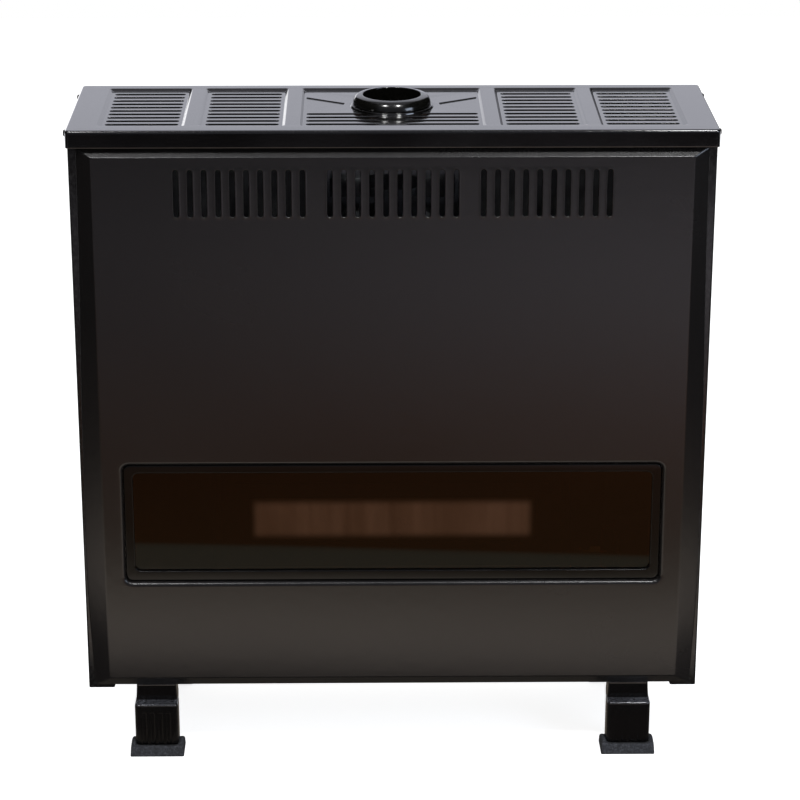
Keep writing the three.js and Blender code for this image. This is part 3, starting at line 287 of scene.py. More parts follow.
def paintedFloorReflection(tree, s, where):
    parts = addNode(tree, "ShaderNodeSeparateXYZ", Vector=where)
    slant = mathNode(tree, "MULTIPLY", parts.outputs["X"], s["sheetSlant"])
    ahead = mathNode(tree, "SUBTRACT", s["heaterFront"], parts.outputs["Y"])
    reach = mathNode(tree, "DIVIDE", mathNode(tree, "ADD", ahead, slant), s["mirroredReach"], clamp=True)
    ramp = addNode(tree, "ShaderNodeValToRGB", Fac=reach)
    stops = ramp.color_ramp.elements
    while len(stops) < len(s["mirrored"]):
        stops.new(0.5)
    for stop, (distance, colour) in zip(stops, s["mirrored"]):
        stop.position = distance / s["mirroredReach"]
        stop.color = (*colour, 1)
    across = mathNode(tree, "ABSOLUTE", parts.outputs["X"])
    opened = mathNode(tree, "MULTIPLY", mathNode(tree, "MAXIMUM", ahead, 0.0), s["sidesOpen"])
    narrow = fadeBetween(tree, mathNode(tree, "SUBTRACT", across, opened), *s["mirroredSides"])
    toRight = mathNode(tree, "MULTIPLY", parts.outputs["X"], fadeBetween(tree, ahead, *s["rightGlowFrom"]))
    brighter = fadeBetween(tree, toRight, *s["rightGlow"])
    behind = mathNode(tree, "LESS_THAN", ahead, s["behindFrom"])
    colour = mixColour(tree, narrow, ramp.outputs["Color"], s["beside"])
    colour = mixColour(tree, behind, colour, s["behind"])
    return addNode(tree, "ShaderNodeEmission", Color=colour, Strength=brighter).outputs["Emission"]


def pickShader(tree, chosen, otherwise, picked):
    pick = tree.nodes.new("ShaderNodeMixShader")
    for socket, value in zip(pick.inputs, (chosen, otherwise, picked)):
        tree.links.new(value, socket)
    return pick.outputs["Shader"]


def addFloor(s):
    bm = bmesh.new()
    verts = bmesh.ops.create_grid(bm, x_segments=8, y_segments=8, size=s["floorSize"] / 2)["verts"]
    bmesh.ops.translate(bm, vec=(0, s["floorFront"] + s["floorSize"] / 2, 0), verts=verts)
    mesh = bpy.data.meshes.new("paperFloor")
    bm.to_mesh(mesh)
    bm.free()
    floor = bpy.data.objects.new("paperFloor", mesh)
    bpy.context.scene.collection.objects.link(floor)
    material = bpy.data.materials.new("whitePaper")
    material.use_nodes = True
    tree = material.node_tree
    shader = tree.nodes["Principled BSDF"]
    where = addNode(tree, "ShaderNodeTexCoord").outputs["Object"]
    fibres = addNode(tree, "ShaderNodeTexNoise", Vector=where, Scale=220.0, Detail=3.0)
    tree.links.new(mixColour(tree, fibres.outputs["Fac"], *s["paper"]), shader.inputs["Base Color"])
    shader.inputs["Roughness"].default_value = 0.9
    shader.inputs["Specular IOR Level"].default_value = 0.0
    light = addNode(tree, "ShaderNodeEmission", Color=(1, 1, 1, 1), Strength=s["lift"])
    lit = tree.nodes.new("ShaderNodeAddShader")
    tree.links.new(shader.outputs["BSDF"], lit.inputs[0])
    tree.links.new(light.outputs["Emission"], lit.inputs[1])
    path = addNode(tree, "ShaderNodeLightPath").outputs
    look = pickShader(tree, path["Is Camera Ray"], shader.outputs["BSDF"], lit.outputs["Shader"])
    # glossy rays see the painted floor reflection instead of the paper
    look = pickShader(tree, path["Is Glossy Ray"], look, paintedFloorReflection(tree, s, where))
    tree.links.new(look, tree.nodes["Material Output"].inputs["Surface"])
    mesh.materials.append(material)


def addWorld(s):
    world = bpy.data.worlds.new("studioRoom")
    world.use_nodes = True
    bpy.context.scene.world = world
    tree = world.node_tree
    shader = tree.nodes["Background"]
    path = addNode(tree, "ShaderNodeLightPath").outputs
    where = addNode(tree, "ShaderNodeTexCoord").outputs["Generated"]
    parts = addNode(tree, "ShaderNodeSeparateXYZ", Vector=where).outputs
    across = mathNode(tree, "ABSOLUTE", parts["X"])

    def within(*ranges):
        masks = [fadeBetween(tree, value, *s[key]) for value, key in ranges]
        share = masks[0]
        for mask in masks[1:]:
            share = mathNode(tree, "MULTIPLY", share, mask)
        return share

    # painted reflections: a pale backdrop behind the heater, white along its left edge and dim along its right one
    pale = within((parts["Z"], "edgeTop"), (parts["X"], "paleEdgeFrom"))
    dim = within((parts["Z"], "edgeTop"), (parts["X"], "dimEdgeFrom"))
    paper = mixColour(tree, dim, mixColour(tree, pale, s["backdrop"], s["paleEdge"]), s["dimEdge"])
    behind = within((parts["Y"], "backdropAhead"), (across, "backdropHalf"), (parts["Z"], "backdropTop"))
    # painted reflections too: a dim room in front, under a grey ceiling
    ahead = within((parts["Y"], "dimRoomAhead"), (across, "dimRoomHalf"))
    above = mixColour(tree, within((parts["Z"], "ceilingFrom")), (0, 0, 0, 1), s["ceiling"])
    room = mixColour(tree, behind, mixColour(tree, ahead, above, s["dimRoom"]), paper)
    # only glossy rays see this painted room; other rays get the even ambient
    around = mixColour(tree, path["Is Glossy Ray"], [s["ambient"]] * 3 + [1], room)
    tree.links.new(mixColour(tree, path["Is Camera Ray"], around, (1, 1, 1, 1)), shader.inputs["Color"])
    shader.inputs["Strength"].default_value = 1.0


def addLamps(s):
    for lamp in s["lamps"]:
        data = bpy.data.lights.new(lamp["name"], "AREA")
        data.shape = "SQUARE"
        data.size = lamp["size"]
        data.energy = lamp["power"]
        data.color = lamp["tint"]
        light = bpy.data.objects.new(lamp["name"], data)
        light.location = lamp["at"]
        light.rotation_euler = (Vector(s["lampsAt"]) - Vector(lamp["at"])).to_track_quat("-Z", "Y").to_euler()
        bpy.context.scene.collection.objects.link(light)


addFloor(studio)
addWorld(studio)
addLamps(studio)
print("studio lit")


# loops of edges that the pieces are stacked from
def roundedLoop(bm, x0, y0, x1, y1, radius, level, steps=4):
    verts = bmesh.ops.create_grid(bm, x_segments=1, y_segments=1, size=0.5)["verts"]
    bmesh.ops.scale(bm, vec=(x1 - x0, y1 - y0, 1), verts=verts)
    bmesh.ops.translate(bm, vec=((x0 + x1) / 2, (y0 + y1) / 2, level), verts=verts)
    turned = bmesh.ops.bevel(
        bm, geom=verts, offset=radius, offset_type="OFFSET", segments=steps, profile=0.5, material=-1, affect="VERTICES"
    )
    face = turned["verts"][0].link_faces[0]
    edges = list(face.edges)
    bmesh.ops.delete(bm, geom=[face], context="FACES_ONLY")
    return edges


def roundLoop(bm, x, y, radius, level, steps=12):
    return roundedLoop(bm, x - radius, y - radius, x + radius, y + radius, radius * 0.999, level, steps)


def stackLoops(bm, loops, closed=False):
    following = loops[1:] + loops[:1] if closed else loops[1:]
    for lower, upper in zip(loops, following):
        if lower[0].verts[0].co.z == upper[0].verts[0].co.z:  # a flat ring
            fillFlat(bm, [lower, upper])
        else:
            bmesh.ops.bridge_loops(bm, edges=lower + upper)
    return loops


def quarterRound(radius, steps):
    angles = [pi / 2 * i / steps for i in range(steps + 1)]
    return [(radius * (1 - sin(a)), radius * (1 - cos(a))) for a in angles]  # in from the wall, down from the face


def cap(bm, loop):
    bmesh.ops.contextual_create(bm, geom=loop)


def stackSolid(bm, loops):
    stackLoops(bm, loops)
    cap(bm, loops[0])
    cap(bm, loops[-1])


def fillFlat(bm, loops, normal=(0, 0, 1)):
    edges = [e for loop in loops for e in loop]
    bmesh.ops.triangle_fill(bm, use_beauty=True, edges=edges, normal=normal)


def partsOf(loops):
    verts = {v for loop in loops for e in loop for v in e.verts}
    edges = {e for v in verts for e in v.link_edges if all(w in verts for w in e.verts)}
    faces = {f for e in edges for f in e.link_faces if all(w in verts for w in f.verts)}
    return list(verts), list(edges), list(faces)


def joinedVerts(rim):
    found = {v for e in rim for v in e.verts}
    reach = list(found)
    while reach:
        vert = reach.pop()
        for edge in vert.link_edges:
            other = edge.other_vert(vert)
            if other not in found:
                found.add(other)
                reach.append(other)
    return list(found)


def spunRing(profile, steps, y):
    bm = bmesh.new()
    verts = [bm.verts.new((r, 0, z)) for r, z in profile]
    edges = [bm.edges.new(pair) for pair in zip(verts, verts[1:] + verts[:1])]
    bmesh.ops.spin(
        bm, geom=verts + edges, cent=(0, 0, 0), axis=(0, 0, 1), dvec=(0, 0, 0), angle=2 * pi, steps=steps,
        use_merge=True, use_normal_flip=False, use_duplicate=False,
    )
    bmesh.ops.translate(bm, vec=(0, y, 0), verts=bm.verts)
    return bm


def punched(bm, width, length, level, lip, places, closed=False, steps=4):
    loops = []
    for shrink, drop in lip:
        x, y = width / 2 - shrink, length / 2 - shrink
        loops.append(roundedLoop(bm, -x, -y, x, y, min(x, y) * 0.95, level - drop, steps))
    stackLoops(bm, loops)
    if closed:
        cap(bm, loops[-1])
    verts, edges, faces = partsOf(loops)
    rims = []
    for x, y in places[1:]:
        copy = bmesh.ops.duplicate(bm, geom=verts + edges + faces)
        moved = [g for g in copy["geom"] if isinstance(g, bmesh.types.BMVert)]
        bmesh.ops.translate(bm, vec=(x, y, 0), verts=moved)
        rims.append([copy["edge_map"][e] for e in loops[0]])
    bmesh.ops.translate(bm, vec=(*places[0], 0), verts=verts)
    return [loops[0]] + rims


def framedLoop(bm, size, grow, level):
    half, bottom, top, corner = size
    return roundedLoop(bm, -half - grow, bottom - grow, half + grow, top + grow, corner + grow, level, 6)


def spaced(count, pitch):
    return [(i - (count - 1) / 2) * pitch for i in range(count)]


def finishPiece(bm, name, material, nodes, body="heater", wall=0.0, turn=None):
    bmesh.ops.remove_doubles(bm, verts=bm.verts, dist=0.002)
    bmesh.ops.dissolve_degenerate(bm, edges=bm.edges, dist=0.001)
    bmesh.ops.recalc_face_normals(bm, faces=bm.faces)
    bmesh.ops.transform(bm, matrix=toFrame @ (turn or Matrix()), verts=bm.verts)
    if turn and turn.determinant() < 0:
        bmesh.ops.recalc_face_normals(bm, faces=bm.faces)
    for face in bm.faces:
        face.smooth = True
    mesh = bpy.data.meshes.new(name)
    bm.to_mesh(mesh)
    bm.free()
    mesh.materials.append(material)
    piece = bpy.data.objects.new(name, mesh)
    bpy.context.scene.collection.objects.link(piece)
    if wall:
        thick = piece.modifiers.new("wall", "SOLIDIFY")
        thick.thickness = wall * 0.001
        thick.offset = -1
        thick.use_even_offset = True
    shade = piece.modifiers.new("flatFaces", "WEIGHTED_NORMAL")
    shade.keep_sharp = True
    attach(piece, body)
    if nodes:
        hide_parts(*nodes)


coverShape = {
    "half": 401.5, "front": -12, "back": 227, "top": 850, "skirt": 22, "corner": 5, "edge": 3,
    "edgeHold": 1.2,
    "pockets": ((-310, 53), (-186, 53), (0, 114.6), (186, 53), (310, 53)),
    "pocketFront": 14, "pocketBack": 208, "pocketCorner": 4, "pocketDepth": 3,
    "pocketWall": ((-1.4, 0), (-0.7, 0.1), (0.2, 0.5), (2.9, 2.5), (3.6, 2.9), (4.4, 3.0)),
    "slotLength": 90.5, "slotWidth": 8.6, "firstRow": 31, "rowPitch": 17.4, "rows": 10,
    "middleColumns": (-62, 62), "middleRows": 4,
    "slotLip": ((-0.5, 0), (-0.1, 0.12), (0.2, 0.45), (0.35, 1.0), (0.35, 3.2)),
    "collarY": 123, "bore": 38.9, "landSteps": 96,
    "landRing": (
        (38.9, 846.6), (38.9, 850), (50.4, 850), (51.1, 849.8), (51.5, 849.2), (51.7, 848.2), (51.9, 847.4),
        (52.6, 847.1), (52.6, 846.6),
    ),
    "ribFrom": (109.2, 167.5), "ribTo": (60, 136), "ribWidth": 5,
    "ribBead": ((0, 0), (0.4, -0.2), (1.1, -1.0), (1.8, -1.4)),
    "enamel": {
        "colour": (0.001, 0.0009, 0.0009), "shade": (0.0015, 0.0013, 0.0013), "rough": (0.1, 0.16),
        "grain": 0.02, "grainScale": 420.0, "deep": 0.0005, "coat": 1.0, "coatRough": 0.085, "dust": 0.25,
        "dustEven": 0.04, "ior": 1.55, "wear": 0.05,
    },
}


def coverPocket(bm, s, x, half):
    loops = [
        roundedLoop(
            bm, x - half + inset, s["pocketFront"] + inset, x + half - inset, s["pocketBack"] - inset,
            s["pocketCorner"] - inset * 0.5, s["top"] - drop,
        )
        for inset, drop in s["pocketWall"]
    ]
    stackLoops(bm, loops)
    return loops[0], loops[-1]


def coverRib(bm, s, side):
    start, end = Vector(s["ribFrom"]), Vector(s["ribTo"])
    along, middle = end - start, (start + end) / 2
    floor = s["top"] - s["pocketDepth"]
    rim = punched(bm, along.length, s["ribWidth"], floor, s["ribBead"], [(0, 0)], closed=True)[0]
    verts = joinedVerts(rim)
    turn = Matrix.Rotation(atan2(along.y, along.x), 4, "Z")
    flip = Matrix.Scale(side, 4, (1, 0, 0))
    bmesh.ops.transform(bm, matrix=flip @ Matrix.Translation((middle.x, middle.y, 0)) @ turn, verts=verts)
    return rim


def buildCover(s):
    bm = bmesh.new()
    drops = (s["edge"] + s["edgeHold"], s["skirt"] - s["edgeHold"], s["skirt"])
    outline = quarterRound(s["edge"], 4) + [(0, drop) for drop in drops]
    loops = [
        roundedLoop(
            bm, -s["half"] + inset, s["front"] + inset, s["half"] - inset, s["back"] - inset,
            s["corner"] - inset * 0.6, s["top"] - drop, 5,
        )
        for inset, drop in outline
    ]
    stackLoops(bm, loops)
    topLoops = [loops[0]]
    pocketFloor = s["top"] - s["pocketDepth"]
    for x, half in s["pockets"]:
        rim, floor = coverPocket(bm, s, x, half)
        topLoops.append(rim)
        columns, rows = ([x], s["rows"]) if x else (s["middleColumns"], s["middleRows"])
        places = [(column, s["firstRow"] + row * s["rowPitch"]) for column in columns for row in range(rows)]
        floorLoops = [floor] + punched(bm, s["slotLength"], s["slotWidth"], pocketFloor, s["slotLip"], places)
        if not x:
            floorLoops.append(roundLoop(bm, 0, s["collarY"], s["bore"], pocketFloor))
            floorLoops += [coverRib(bm, s, side) for side in (-1, 1)]
        fillFlat(bm, floorLoops)
    fillFlat(bm, topLoops)
    material = makeFinish("glossEnamel", s["enamel"])
    finishPiece(bm, "topCover", material, ["top_cover"], wall=sheetWall)
    land = spunRing(s["landRing"], s["landSteps"], s["collarY"])  # the flat ring pressed up round the flue
    finishPiece(land, "flueLand", material, [])


buildCover(coverShape)
print("top cover pressed")

collarShape = {
    "y": 123,
    "profile": (
        (36.5, 812), (36.5, 861.8), (36.8, 862.6), (37.4, 862.95), (38.3, 862.95), (39.8, 862.75), (41.8, 862.4),
        (43.6, 861.9), (45.0, 861.2), (46.1, 860.3), (46.9, 859.2), (47.7, 857.9), (48.4, 856.5), (49.0, 855.0),
        (49.4, 853.4), (49.6, 851.8), (49.7, 850.3), (38.2, 850.3), (38.2, 812),
    ),
    "steps": 72,
    "enamel": {
        "colour": (0.0018, 0.0018, 0.0014), "shade": (0.0028, 0.0027, 0.002), "rough": (0.12, 0.28),
        "grain": 0.12, "grainScale": 500.0, "deep": 0.0005, "coat": 0.6, "dust": 0.1, "dustEven": 0.05,
        "wear": 0.12, "bare": (0.12, 0.115, 0.1),
    },
}
glossBlack = makeFinish("blackGlossEnamel", collarShape["enamel"])
collarRing = spunRing(collarShape["profile"], collarShape["steps"], collarShape["y"])
finishPiece(collarRing, "flueCollar", glossBlack, ["flue_collar"])
print("collar turned")

panelShape = {
    "bow": ((391, 120), (395, 190), (397, 295), (395, 495), (390, 818)),
    "bottom": 99, "top": 827, "fieldBottom": 113, "fieldTop": 816, "fieldHalf": 371, "corner": 9,
    "fieldCorner": 1.5, "out": 12, "rim": 2,
    "rimRings": ((0.55, 0.35), (0.03, 0.35), (0.0, 0.7), (0.0, 1.3), (0.012, 1.85), (0.05, 2.45)),  # blend, level
    "fold": 0.07,  # half the soft fold's width, as a share of the bevel
    "sideSteps": 16, "ventGroups": (3, 189.4), "vents": (10, 17.3), "ventWidth": 7.1,
    "ventBottom": 739.7, "ventTop": 801,
    "ventLip": ((-2.4, 0), (-1.9, -0.2), (-1.1, -0.5), (-0.4, -0.5), (0.15, -0.1), (0.5, 0.5), (0.6, 1.2), (0.6, 2.6)),
    "opening": (345.5, 249, 411, 9),  # half, bottom, top, corner
    "openingRoll": 6,
    "enamel": {
        "colour": (0.0042, 0.0036, 0.0036), "shade": (0.0058, 0.0049, 0.0048), "rough": (0.23, 0.28),
        "grain": 0.18, "grainScale": 700.0, "deep": 0.0005, "coat": 0.3, "coatRough": 0.22, "dust": 0.1,
        # the pale worn edges are wear and painted highlights: they light the rims of the vents and the window roll
        "dustEven": 0.08, "patchScale": 3.0, "wear": 0.15,
    },
}


def bowHalf(points, z):
    if z <= points[0][1]:
        return points[0][0]
    for (x0, z0), (x1, z1) in zip(points, points[1:]):
        if z <= z1:
            t = (z - z0) / (z1 - z0)
            return x0 + (x1 - x0) * sin(t * pi / 2)
    return points[-1][0]


def panelLoop(bm, s, blend, level):
    def between(outer, inner):
        return outer + (inner - outer) * blend

    made = bmesh.ops.create_grid(bm, x_segments=1, y_segments=s["sideSteps"], size=0.5)["verts"]
    bottom, top = between(s["bottom"], s["fieldBottom"]), between(s["top"], s["fieldTop"])
    for vert in made:
        z = bottom + (vert.co.y + 0.5) * (top - bottom)
        half = between(bowHalf(s["bow"], z), s["fieldHalf"])
        vert.co = (half if vert.co.x > 0 else -half, z, level)
    corners = [v for v in made if len(v.link_edges) == 2]
    radius = max(s["corner"] * (1 - 12 * blend), s["fieldCorner"])  # rounded at the rim, a crisp mitre above it
    bmesh.ops.bevel(
        bm, geom=corners, offset=radius, offset_type="OFFSET", segments=4, profile=0.5, material=-1, affect="VERTICES"
    )
    faces = {f for v in made if v.is_valid for f in v.link_faces}
    rim = [e for f in faces for e in f.edges if e.is_boundary]
    bmesh.ops.delete(bm, geom=list(faces), context="FACES_KEEP_BOUNDARY")
    return rim


def buildPanel(s):
    bm = bmesh.new()
    out, rise, fold = s["out"], s["out"] - s["rim"], s["fold"]
    rings = list(s["rimRings"])
    for step in range(5):
        blend = 1 - fold + 2 * fold * step / 4
        rings.append((blend, out - rise / (4 * fold) * (1 + fold - blend) ** 2))
    loops = stackLoops(bm, [panelLoop(bm, s, blend, level) for blend, level in rings])
    roll = [(grow, out - drop) for grow, drop in quarterRound(s["openingRoll"], 6)] + [(0, -0.6)]
    window = stackLoops(bm, [framedLoop(bm, s["opening"], *row) for row in roll])
    places = [
        (group + x, (s["ventBottom"] + s["ventTop"]) / 2)
        for group in spaced(*s["ventGroups"])
        for x in spaced(*s["vents"])
    ]
    vents = punched(bm, s["ventWidth"], s["ventTop"] - s["ventBottom"], out, s["ventLip"], places)
    fillFlat(bm, [loops[-1], window[0]] + vents)
    material = makeFinish("satinEnamel", s["enamel"])
    finishPiece(bm, "frontPanel", material, ["front_panel"], wall=sheetWall, turn=faceFront)
    return material


satinEnamel = buildPanel(panelShape)
print("front panel folded")

windowShape = {
    "outside": (344.7, 249.8, 410.2, 8.2),  # half, bottom, top, corner
    "sight": (333, 263, 399, 8), "back": -3, "front": 7,
    "outerEdge": ((0, 1.6), (0.3, 0.8), (0.9, 0.25), (1.8, 0)),
    "innerEdge": ((1.5, 0), (0.9, 0.12), (0.4, 0.4), (0.1, 0.9), (0, 1.6)),
    "enamel": {
        "colour": (0.0012, 0.001, 0.0009), "shade": (0.0018, 0.0015, 0.0013), "rough": (0.15, 0.22),
        "ior": 1.38, "grain": 0.08, "grainScale": 500.0, "deep": 0.0004, "dust": 0.08, "dustEven": 0.03,
    },
}
glassShape = {
    "size": (341, 255, 407, 6), "front": 2.7, "thick": 4, "ground": 0.6,
    "tint": (0.16, 0.085, 0.05), "deepTint": (0.13, 0.066, 0.036), "rough": 0.01, "haze": 9.0,
}
paneShape = {
    "size": (195, 277, 355, 6), "front": -40.3, "thick": 3, "ground": 0.4, "tint": (0.6, 0.5, 0.4),
    "deepTint": (0.5, 0.42, 0.34), "rough": 0.25, "haze": 9.0, "streaks": 46.0,
    # painted light: the pane's glow, in streaks, fading at its edges
    "glow": (0.18, 0.175, 0.185), "dimGlow": (0.115, 0.107, 0.11), "glowInset": 0.009,
    "soft": 0.014,
}


def buildWindowFrame(s):
    bm = bmesh.new()
    loops = [framedLoop(bm, s["outside"], 0, s["back"])]
    loops += [framedLoop(bm, s["outside"], -inset, s["front"] - drop) for inset, drop in s["outerEdge"]]
    loops += [framedLoop(bm, s["sight"], grow, s["front"] - drop) for grow, drop in s["innerEdge"]]
    loops += [framedLoop(bm, s["sight"], 0, s["back"])]
    stackLoops(bm, loops, closed=True)
    material = makeFinish("windowEnamel", s["enamel"])
    finishPiece(bm, "windowFrame", material, ["window_frame"], turn=faceFront)


def makeGlass(name, look):
    material = bpy.data.materials.new(name)
    material.use_nodes = True
    tree = material.node_tree
    shader = tree.nodes["Principled BSDF"]
    where = addNode(tree, "ShaderNodeTexCoord").outputs["Object"]
    haze = useEffect(tree, "patches", where, Scale=look["haze"])
    tree.links.new(mixColour(tree, haze, (*look["tint"], 1), (*look["deepTint"], 1)), shader.inputs["Base Color"])
    smear = addNode(tree, "ShaderNodeMapRange", Value=haze, To_Min=look["rough"], To_Max=look["rough"] * 2.2)
    tree.links.new(smear.outputs["Result"], shader.inputs["Roughness"])
    shader.inputs["Transmission Weight"].default_value = 1.0
    shader.inputs["IOR"].default_value = 1.5
    if "glow" in look:
        addPaneGlow(tree, shader, where, look)
    return material


# painted light: the chamber pane glows with a pale, soft-edged patch, though no lamp is behind it
def addPaneGlow(tree, shader, where, look):
    brushed = addNode(tree, "ShaderNodeMapping", Vector=where, Scale=(1, 1, 0.06)).outputs["Vector"]
    streaks = useEffect(tree, "patches", brushed, Scale=look["streaks"])
    tint = mixColour(tree, streaks, (*look["glow"], 1), (*look["dimGlow"], 1))
    parts = addNode(tree, "ShaderNodeSeparateXYZ", Vector=where)
    half, bottom, top = (0.001 * size for size in look["size"][:3])
    middle = (top + bottom) / 2
    sides = mathNode(tree, "ABSOLUTE", parts.outputs["X"])
    height = mathNode(tree, "ABSOLUTE", mathNode(tree, "SUBTRACT", parts.outputs["Z"], middle))
    edges = []
    for distance, reach in ((sides, half - look["glowInset"]), (height, middle - bottom - look["glowInset"])):
        fade = addNode(
            tree, "ShaderNodeMapRange", {"interpolation_type": "SMOOTHSTEP"}, Value=distance,
            From_Min=reach - look["soft"], From_Max=reach, To_Min=1.0, To_Max=0.0,
        )
        edges.append(fade.outputs["Result"])
    inside = mathNode(tree, "MULTIPLY", *edges)
    tree.links.new(mixColour(tree, inside, (0, 0, 0, 1), tint), shader.inputs["Emission Color"])
    shader.inputs["Emission Strength"].default_value = 1.0


def buildPane(s, name, material, node):
    bm = bmesh.new()
    front, back, ground = s["front"], s["front"] - s["thick"], s["ground"]
    rows = ((-ground, back), (0, back + ground), (0, front - ground), (-ground, front))
    stackSolid(bm, [framedLoop(bm, s["size"], *row) for row in rows])
    finishPiece(bm, name, material, [node], turn=faceFront)


buildWindowFrame(windowShape)
tintedGlass = makeGlass("tintedGlass", glassShape)
chamberPane = makeGlass("chamberPane", paneShape)
buildPane(glassShape, "windowGlass", tintedGlass, "window_glass")
buildPane(paneShape, "chamberPane", chamberPane, "chamber_window")
print("window framed and glazed")

legShape = {
    "x": 312, "half": 28.5, "face": -8, "depth": 30, "bottom": 4.3, "ledge": 72, "ledgeRound": 3,
    "corner": 5,
    "neck": ((27, 64), (27.2, 74), (26.6, 82), (26.1, 92), (26, 101.7)),
    "neckFront": 7, "neckCorner": 3, "rearLine": 227, "flutes": (4, 10.5), "fluteWidth": 7.4,
    "fluteFrom": 10, "fluteTo": 61,
    "fluteDish": ((0, 0), (0.5, 0.15), (1.3, 0.8), (2.2, 1.3), (3.0, 1.5)),
    "wall": 2.4,
    "enamel": {
        "colour": (0.0018, 0.0016, 0.0015), "shade": (0.0028, 0.0023, 0.0022), "rough": (0.06, 0.12),
        # the heavy bluish dust on upward faces is dust and painted sheen: it lightens the ledge tops
        "grain": 0.12, "grainScale": 500.0, "deep": 0.0005, "coat": 0.5, "dust": 3.4, "dustEven": 0.0,
        "dustColour": (0.14, 0.145, 0.17), "wear": 0.12, "bare": (0.12, 0.115, 0.1),
    },
}
shoeShape = {
    "front": -17, "back": 26,
    # front to back: y, height in the middle, height at the sides
    "profile": (
        (-16.6, 0, 0), (-17, 1.2, 1.2), (-16.7, 3, 3), (-13.9, 11.8, 14.2), (-13.2, 12.8, 15.4), (-12, 13.2, 16),
        (-8.4, 13.6, 16.8), (-2, 13.8, 17.8), (4, 13.8, 18), (12, 13, 15.4), (22.4, 10, 10.8), (25.2, 8.8, 9.2),
        (26, 7.8, 8), (26, 0, 0),
    ),
    # from the middle outwards: x, share of the rise to the sides, rounding
    "sections": (
        (0, 0, 0), (20, 0, 0), (24, 0.1, 0), (28.8, 0.45, 0), (31, 0.85, 0), (32.8, 1, 0), (34.2, 1, 0.4),
        (35.1, 1, 1.2), (35.5, 1, 2.4),
    ),
    "socketHalf": 28.8, "socketFront": -8.4, "socketBack": 22.4, "socketFloor": 4, "lean": 0.0022,
    "rubber": {
        "colour": (0.014, 0.015, 0.018), "shade": (0.022, 0.023, 0.028), "rough": (0.75, 0.95), "grain": 0.5,
        "grainScale": 1500.0, "deep": 0.0006, "dust": 1.6, "dustEven": 0.45, "dustScale": 420.0,
        "dustColour": (0.13, 0.135, 0.155), "patchScale": 60.0,
    },
}


def standAt(name, x):
    if "rear" in name:
        return Matrix.Translation((x, legShape["rearLine"], 0)) @ Matrix.Rotation(pi, 4, "Z")
    return Matrix.Translation((x, 0, 0))


def openBehind(bm, y):
    rear = [f for f in bm.faces if f.normal.y > 0.99 and abs(f.calc_center_median().y - y) < 0.1]
    bmesh.ops.delete(bm, geom=rear, context="FACES")


def legFlutes(bm, s):
    bm.normal_update()
    front = max(bm.faces, key=lambda f: f.calc_area() * (f.normal.y < -0.99))
    edges = list(front.edges)
    bmesh.ops.delete(bm, geom=[front], context="FACES_ONLY")
    middle = (s["fluteFrom"] + s["fluteTo"]) / 2
    places = [(x, middle) for x in spaced(*s["flutes"])]
    rims = punched(bm, s["fluteWidth"], s["fluteTo"] - s["fluteFrom"], -s["face"], s["fluteDish"], places, closed=True)
    verts = {v for rim in rims for v in joinedVerts(rim)}
    bmesh.ops.transform(bm, matrix=faceFront, verts=list(verts))
    fillFlat(bm, [edges] + rims, normal=(0, -1, 0))


def buildLeg(s, name, x, material):
    bm = bmesh.new()
    back = s["face"] + s["depth"]

    def outline(inset, level):
        half = s["half"] - inset
        return roundedLoop(bm, -half, s["face"] + inset, half, back, s["corner"], level)

    loops = [outline(0, s["bottom"])]
    loops += [outline(inset, s["ledge"] - drop) for inset, drop in reversed(quarterRound(s["ledgeRound"], 5))]
    stackLoops(bm, loops)
    cap(bm, loops[-1])
    bm.normal_update()
    bmesh.ops.recalc_face_normals(bm, faces=bm.faces)
    openBehind(bm, back)
    legFlutes(bm, s)
    front, back = s["neckFront"], s["neckFront"] + s["depth"]
    neck = [roundedLoop(bm, -half, front, half, back, s["neckCorner"], level) for half, level in s["neck"]]
    stackLoops(bm, neck)
    cap(bm, neck[-1])
    bmesh.ops.recalc_face_normals(bm, faces=bm.faces)
    openBehind(bm, back)
    turn = standAt(name, x)
    finishPiece(bm, f"leg.{name}", material, [f"leg_{name}"], wall=s["wall"], turn=turn)


def shoeSection(bm, s, x, rise, inset):
    verts = []
    for y, low, high in s["profile"]:
        z = low + (high - low) * rise
        y = min(max(y, s["front"] + inset), s["back"] - inset)
        verts.append(bm.verts.new((x, y, max(z - inset, 0) if z else 0)))
    return [bm.edges.new(pair) for pair in zip(verts, verts[1:] + verts[:1])]


def buildShoe(s, name, x, material):
    bm = bmesh.new()
    halves = [shoeSection(bm, s, *section) for section in s["sections"]]
    for inner, outer in zip(halves, halves[1:]):
        bmesh.ops.bridge_loops(bm, edges=inner + outer)
    cap(bm, halves[-1])
    bmesh.ops.mirror(bm, geom=bm.verts[:] + bm.edges[:] + bm.faces[:], axis="X", merge_dist=0.01)
    bmesh.ops.remove_doubles(bm, verts=bm.verts, dist=0.01)
    bmesh.ops.recalc_face_normals(bm, faces=bm.faces)
    inside = [f for f in bm.faces if overSocket(s, f)]
    sunk = bmesh.ops.extrude_face_region(bm, geom=inside)["geom"]
    bmesh.ops.delete(bm, geom=inside, context="FACES")
    for vert in [g for g in sunk if isinstance(g, bmesh.types.BMVert)]:
        vert.co.z = s["socketFloor"]
    for vert in bm.verts:
        vert.co.x *= 1 - s["lean"] * vert.co.z
    finishPiece(bm, f"shoe.{name}", material, [f"shoe_{name}"], turn=standAt(name, x))


def overSocket(s, face):
    middle = face.calc_center_median()
    inside = abs(middle.x) < s["socketHalf"] and s["socketFront"] < middle.y < s["socketBack"]
    return inside and face.normal.z > 0.5


dustyRubber = makeFinish("dustyRubber", shoeShape["rubber"])
legEnamel = makeFinish("legEnamel", legShape["enamel"])
for spot in ("front_left", "front_right", "rear_left", "rear_right"):
    across = legShape["x"] * (-1 if "left" in spot else 1)
    buildLeg(legShape, spot, across, legEnamel)
    buildShoe(shoeShape, spot, across, dustyRubber)
print("legs stood")

